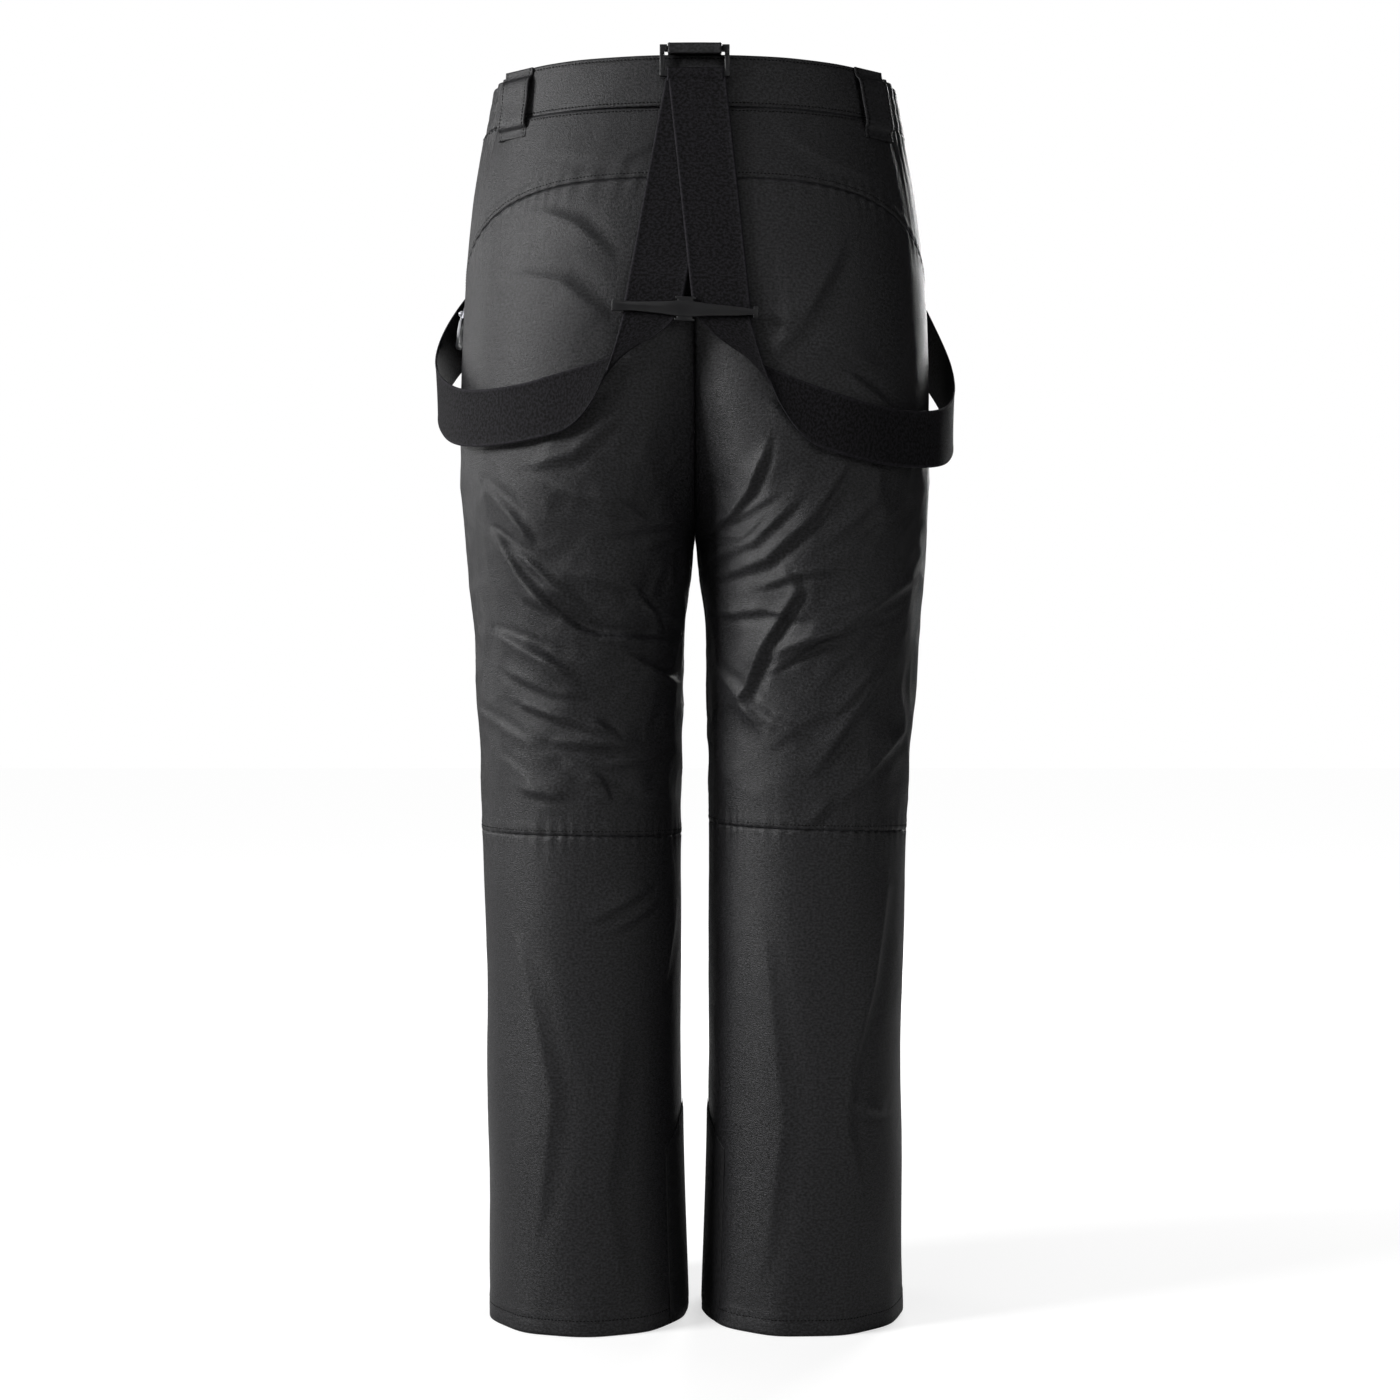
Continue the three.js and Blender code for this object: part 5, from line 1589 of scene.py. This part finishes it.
def makeHook(name):
    _, _, _, point, outward, up = strapFrames[name]
    h = hook
    middle = (0, 0, h["bar"] / 2 - h["tall"] / 2)
    piece = barFrame(f"frontHook{name.capitalize()}", h, middle)
    for x in (-h["wide"] / 2 + 6, h["wide"] / 2 - 6):
        cutAcross((x, 0, 0), (1, 0, 0))
    low = middle[2] - h["tall"] / 2
    cutAcross((0, 0, low + 5.5), (0, 0, 1))
    pickFaces(piece, lambda c, n: n.y > 0.9 and abs(c.x) > h["wide"] / 2 - 6.1 and c.z < low + 5.6)
    drawOut(0, 1, 0)
    finishPiece(piece, standing(point + outward * loops["anchorStand"] / 2, up, outward), 0.5)
    fit(piece, f"hook_{name}", "black_plastic", f"front_hook_{name}")


adjuster = dict(long=14, wall=2.4, slotWide=50.8, slotDeep=3.4)


def makeAdjuster(name):
    middle, along, outward = strapFrames[name][:3]
    a = adjuster
    wide, deep = a["slotWide"] + 2 * a["wall"], a["slotDeep"] + 2 * a["wall"]
    piece = blockOf(f"strapAdjuster{name.capitalize()}", (wide, deep, a["long"]), (0, 0, 0), blackPlastic)
    pickFaces(piece, lambda c, n: abs(n.z) > 0.9)
    insetFaces(a["wall"])
    bpy.ops.mesh.bridge_edge_loops()
    for z in (-a["long"] / 2 + 3, a["long"] / 2 - 3):
        cutAcross((0, 0, z), (0, 0, 1))
    # a shallow thumb grip across the outer face
    pickFaces(piece, lambda c, n: n.y > 0.9 and c.y > deep / 2 - 0.1 and abs(c.z) < a["long"] / 2 - 3)
    insetFaces(1.2)
    shift(0, -0.8, 0)
    finishPiece(piece, standing(middle, along, outward), 0.45)
    fit(piece, f"adjuster_{name}", "black_plastic", f"strap_adjuster_{name}")


makeBuckle()
makeCrossPlate()
for _, name in sides:
    makeHook(name)
    makeAdjuster(name)
print("brace fittings modelled")


# ---- zips: woven tape with a coil of teeth, a slider and a puller on its pin
zipSize = dict(
    wide=8, thick=2.2, pitch=1.5, long=12, wall=1.6, pin=1.1, pinLift=2.9, clearance=0.4, eyeWide=5
)


def turnedTube(name, radius, length, finish, facets, axis="X"):
    objectMode()
    bpy.ops.object.select_all(action="DESELECT")
    turn = (0, math.pi / 2, 0) if axis == "X" else (math.pi / 2, 0, 0)
    radius, length = metres(radius, length)
    bpy.ops.mesh.primitive_cylinder_add(vertices=facets, radius=radius, depth=length, rotation=turn)
    bpy.ops.object.transform_apply(location=True, rotation=True, scale=True)
    return newPiece(name, finish)


def joined(name, pieces):
    bpy.ops.object.select_all(action="DESELECT")
    for piece in pieces:
        piece.select_set(True)
    bpy.context.view_layer.objects.active = pieces[0]
    bpy.ops.object.join()
    whole = bpy.context.object
    whole.name = name
    whole.data.name = name
    return whole


def makeTeeth(name, length, place, node):
    # one tooth of the coil, modelled once and repeated up the chain
    w = zipSize["wide"]
    size = (w * 0.62, 1.5, zipSize["pitch"] * 0.62)
    tooth = blockOf(f"{name}Tooth", size, (0.35, 0.25, -length / 2 + 1.2), zipCoil)
    pickFaces(tooth, lambda c, n: n.y > 0.9)
    insetFaces(0.2)
    stretch(0.8, 1, 1)
    pickFaces(tooth, lambda c, n: abs(n.x) > 0.9)
    stretch(1, 0.6, 0.8)
    objectMode()
    rows = tooth.modifiers.new("rows", "ARRAY")
    rows.count = int((length - 2.4) / zipSize["pitch"])
    rows.use_relative_offset = False
    rows.use_constant_offset = True
    rows.constant_offset_displace = (0, 0, zipSize["pitch"] * 0.001)
    bpy.ops.object.modifier_apply(modifier=rows.name)
    tape = blockOf(f"{name}Tape", (w, 0.9, length - 0.4), (0, -0.62, 0), zipCoil)
    cutAcross((-w * 0.33, 0, 0), (1, 0, 0))
    cutAcross((w * 0.33, 0, 0), (1, 0, 0))
    pickFaces(tape, lambda c, n: n.y > 0.9 and abs(c.x) > w * 0.33)
    drawOut(0, 0.5, 0)
    objectMode()
    chain = joined(name, [tape, tooth])
    finishPiece(chain, place, 0.12, 1)
    fit(chain, "root", "zip_tape", node)


def makeSlider(name, swivel, place, body, node):
    z = zipSize
    inner, roof = z["wide"] / 2 + z["clearance"], z["thick"] / 2 + z["clearance"]
    size = (2 * (inner + z["wall"]), z["wall"], z["long"])
    shell = blockOf(name, size, (0, roof + z["wall"] / 2, 0), darkMetal)
    for cut in (-inner, inner):
        cutAcross((cut, 0, 0), (1, 0, 0))
    pickFaces(shell, lambda c, n: n.y < -0.9 and abs(c.x) > inner)
    drawOut(0, -(roof + z["thick"] / 2), 0)
    # the top end is wider than the waist of the slider
    pickPoints(shell, lambda c: c.z < 0)
    stretch(0.985, 1, 1, about=(0, 0, 0))
    pickFaces(shell, lambda c, n: n.y > 0.9)
    insetFaces(0.9)
    shift(0, 0.25, 0)
    objectMode()
    pinY = roof + z["wall"] + z["pinLift"]
    lugX = z["eyeWide"] / 2 + z["clearance"] + 0.7
    deep = z["pinLift"] + z["pin"] + 1.2
    parts = [shell]
    for x in (-lugX, lugX):
        lug = blockOf(f"{name}Lug", (1.4, deep, 4), (x, roof + z["wall"] + deep / 2 - 0.2, 0), darkMetal)
        pickFaces(lug, lambda c, n: n.y > 0.9)
        stretch(1, 1, 0.55)
        objectMode()
        parts.append(lug)
    pin = turnedTube(f"{name}Pin", z["pin"], 2 * lugX + 1.2, darkMetal, 16)
    pin.data.transform(Matrix.Translation((0, pinY * 0.001, 0)))
    parts.append(pin)
    for part in parts[1:]:
        part.data.transform(Matrix.Rotation(swivel, 4, "Y"))
    slider = joined(name, parts)
    finishPiece(slider, place, 0.28, 2)
    fit(slider, body, "dark_metal", node)


def makePuller(name, place, body, node):
    hole = zipSize["pin"] + zipSize["clearance"] - 0.05
    neck = 3
    long = 30 - hole - neck
    eye = turnedTube(name, hole + 1.3, zipSize["eyeWide"], greyPlastic, 28)
    editMode()
    pickFaces(eye, lambda c, n: abs(n.x) > 0.9)
    insetFaces(1.3)
    bpy.ops.mesh.bridge_edge_loops()
    objectMode()
    grip = blockOf(f"{name}Grip", (4.6, 2.0, neck + 0.8), (0, 0, -hole - 0.6 - neck / 2), greyPlastic)
    pickFaces(grip, lambda c, n: n.z < -0.9)
    foot = -hole - neck
    stages = (
        (1.4, 0.6, 1.25), (1.3, long * 0.3, 1.15), (1.0, long * 0.35, 1.0),
        (1.0, long * 0.27, 1.0), (0.72, 1.9, 0.8),
    )
    for wide, drop, deep in stages:
        drawOut(0, 0, -drop)
        stretch(wide, deep, 1)
    # a sunk panel with grip bars on each face
    pickFaces(grip, lambda c, n: abs(n.y) > 0.8 and foot - long * 0.95 < c.z < foot - long * 0.3)
    insetFaces(1.1)
    stretch(1, 0.72, 1)
    objectMode()
    bars = []
    for step in range(5):
        down = foot - long * (0.45 + 0.1 * step)
        bar = blockOf(f"{name}Bar{step}", (5.2, 2.7, 1.0), (0, 0, down), greyPlastic)
        pickFaces(bar, lambda c, n: abs(n.y) > 0.9)
        stretch(0.9, 1, 0.5)
        objectMode()
        bars.append(bar)
    puller = joined(name, [eye, grip] + bars)
    finishPiece(puller, place, 0.3, 2)
    fit(puller, body, "puller_plastic", node)


def makeZip(prefix, low, high, outward, share, node, bodies):
    low, high = np.asarray(low, float), np.asarray(high, float)
    along = unit(high - low)
    length = float(np.linalg.norm(high - low))
    out = unit(outward - along * (outward @ along))
    makeTeeth(f"{prefix}Chain", length, standing((low + high) / 2, along, out), f"{node}_chain")
    up = np.array([0.0, 0, 1])
    up = unit(up - out * (up @ out))
    sideways = np.cross(out, along)
    swivel = math.atan2(up @ sideways, up @ along)
    reach = zipSize["long"] / 2 + 1
    at = low + along * (reach + (length - 2 * reach) * share)
    makeSlider(f"{prefix}Slider", swivel, standing(at, along, out), bodies[0], f"{node}_slider")
    pinY = zipSize["thick"] / 2 + zipSize["clearance"] + zipSize["wall"] + zipSize["pinLift"]
    makePuller(f"{prefix}Puller", standing(at + out * pinY, up, out), bodies[1], f"{node}_puller")


flyTop, flyFoot = p["waistSeam"] - 4, p["waistSeam"] - 154
flyY = min(float(depthAt(4, z, -1)) for z in np.linspace(flyFoot, flyTop, 9)) - 0.4 - 1.1
ahead = np.array([0.0, -1, 0])
makeZip("fly", (0, flyY, flyFoot), (0, flyY, flyTop), ahead, 1, "fly", ("fly_slider", "fly_puller"))
pocket = dict(foot=874, top=990, footAngle=-0.2, topAngle=-0.4, stand=4.4, radius=118, weltOut=9.2, overlap=8)
for side, name, share in ((1, "left", 0), (-1, "right", 1)):
    low = skin(side, np.float64(pocket["foot"]), np.float64(pocket["footAngle"]), -pocket["stand"])
    high = skin(side, np.float64(pocket["top"]), np.float64(pocket["topAngle"]), -pocket["stand"])
    middle = (low + high) / 2
    outward = unit(np.array([middle[0], middle[1] * 1.5, 0.0]))
    makeZip(
        f"pocket{name.capitalize()}", low, high, outward, share, f"pocket_{name}",
        (f"pocket_slider_{name}", f"pocket_puller_{name}"),
    )


def makeWelt(side, name):
    # a raised lip of cloth along both edges of the hand pocket
    title = name.capitalize()
    for way, label in ((-1, "Front"), (1, "Back")):
        foot, top = pocket["foot"] - pocket["overlap"], pocket["top"] + pocket["overlap"]
        z = np.linspace(foot, top, 60)
        share = (z - pocket["foot"]) / (pocket["top"] - pocket["foot"])
        phi = pocket["footAngle"] + (pocket["topAngle"] - pocket["footAngle"]) * share
        phi = phi + way * pocket["weltOut"] / pocket["radius"]
        taper = 0.5 + 0.5 * np.clip(np.minimum(z - foot, top - z) / 6, 0, 1) ** 0.5
        face = skinNormal(side, z, phi)
        line = cloth(side, z, phi) + face * 0.55
        piece, flat = strip(f"pocketWelt{label}{title}", line, face, 5.2, 1.3, shellCloth, 0.2, taper=taper)
        sewOn(piece, "shell_cloth", flat=flat)
        seam = line + face * 0.72
        stitchRow(f"pocketStitch{label}{title}", seam, face)


for side, name in sides:
    makeWelt(side, name)
print("zips modelled")


# ---- press studs
stud = dict(radius=7, thick=1.6, lift=2.4, height=22)


def makeStud(name, x):
    point, outward, _ = waistFrame(frontAngle(x), p["waistSeam"] + stud["height"])
    title = name.capitalize()
    post = turnedTube(f"studPost{title}", stud["radius"] - 2, stud["thick"] - 0.4, darkMetal, 32, "Y")
    editMode()
    pickFaces(post, lambda c, n: n.y > 0.9)
    insetFaces(1.6)
    drawOut(0, -0.4, 0)
    place = standing(point + outward * (0.4 + (stud["thick"] - 0.4) / 2), (0, 0, 1), outward)
    finishPiece(post, place, 0.2, 2)
    fit(post, "root", "dark_metal", f"stud_post_{name}")
    cap = turnedTube(f"studCap{title}", stud["radius"], stud["thick"], darkMetal, 40, "Y")
    editMode()
    pickFaces(cap, lambda c, n: n.y > 0.9)
    insetFaces(1.3)
    shift(0, -0.5, 0)
    insetFaces(0.8)
    shift(0, 0.4, 0)
    capLift = stud["lift"] + 1.5 + 0.4 + stud["thick"] / 2
    finishPiece(cap, standing(point + outward * capLift, (0, 0, 1), outward), 0.3)
    fit(cap, "waist_tab", "dark_metal", f"stud_cap_{name}")


makeStud("inner", -16)
makeStud("outer", -37)
print("studs modelled")
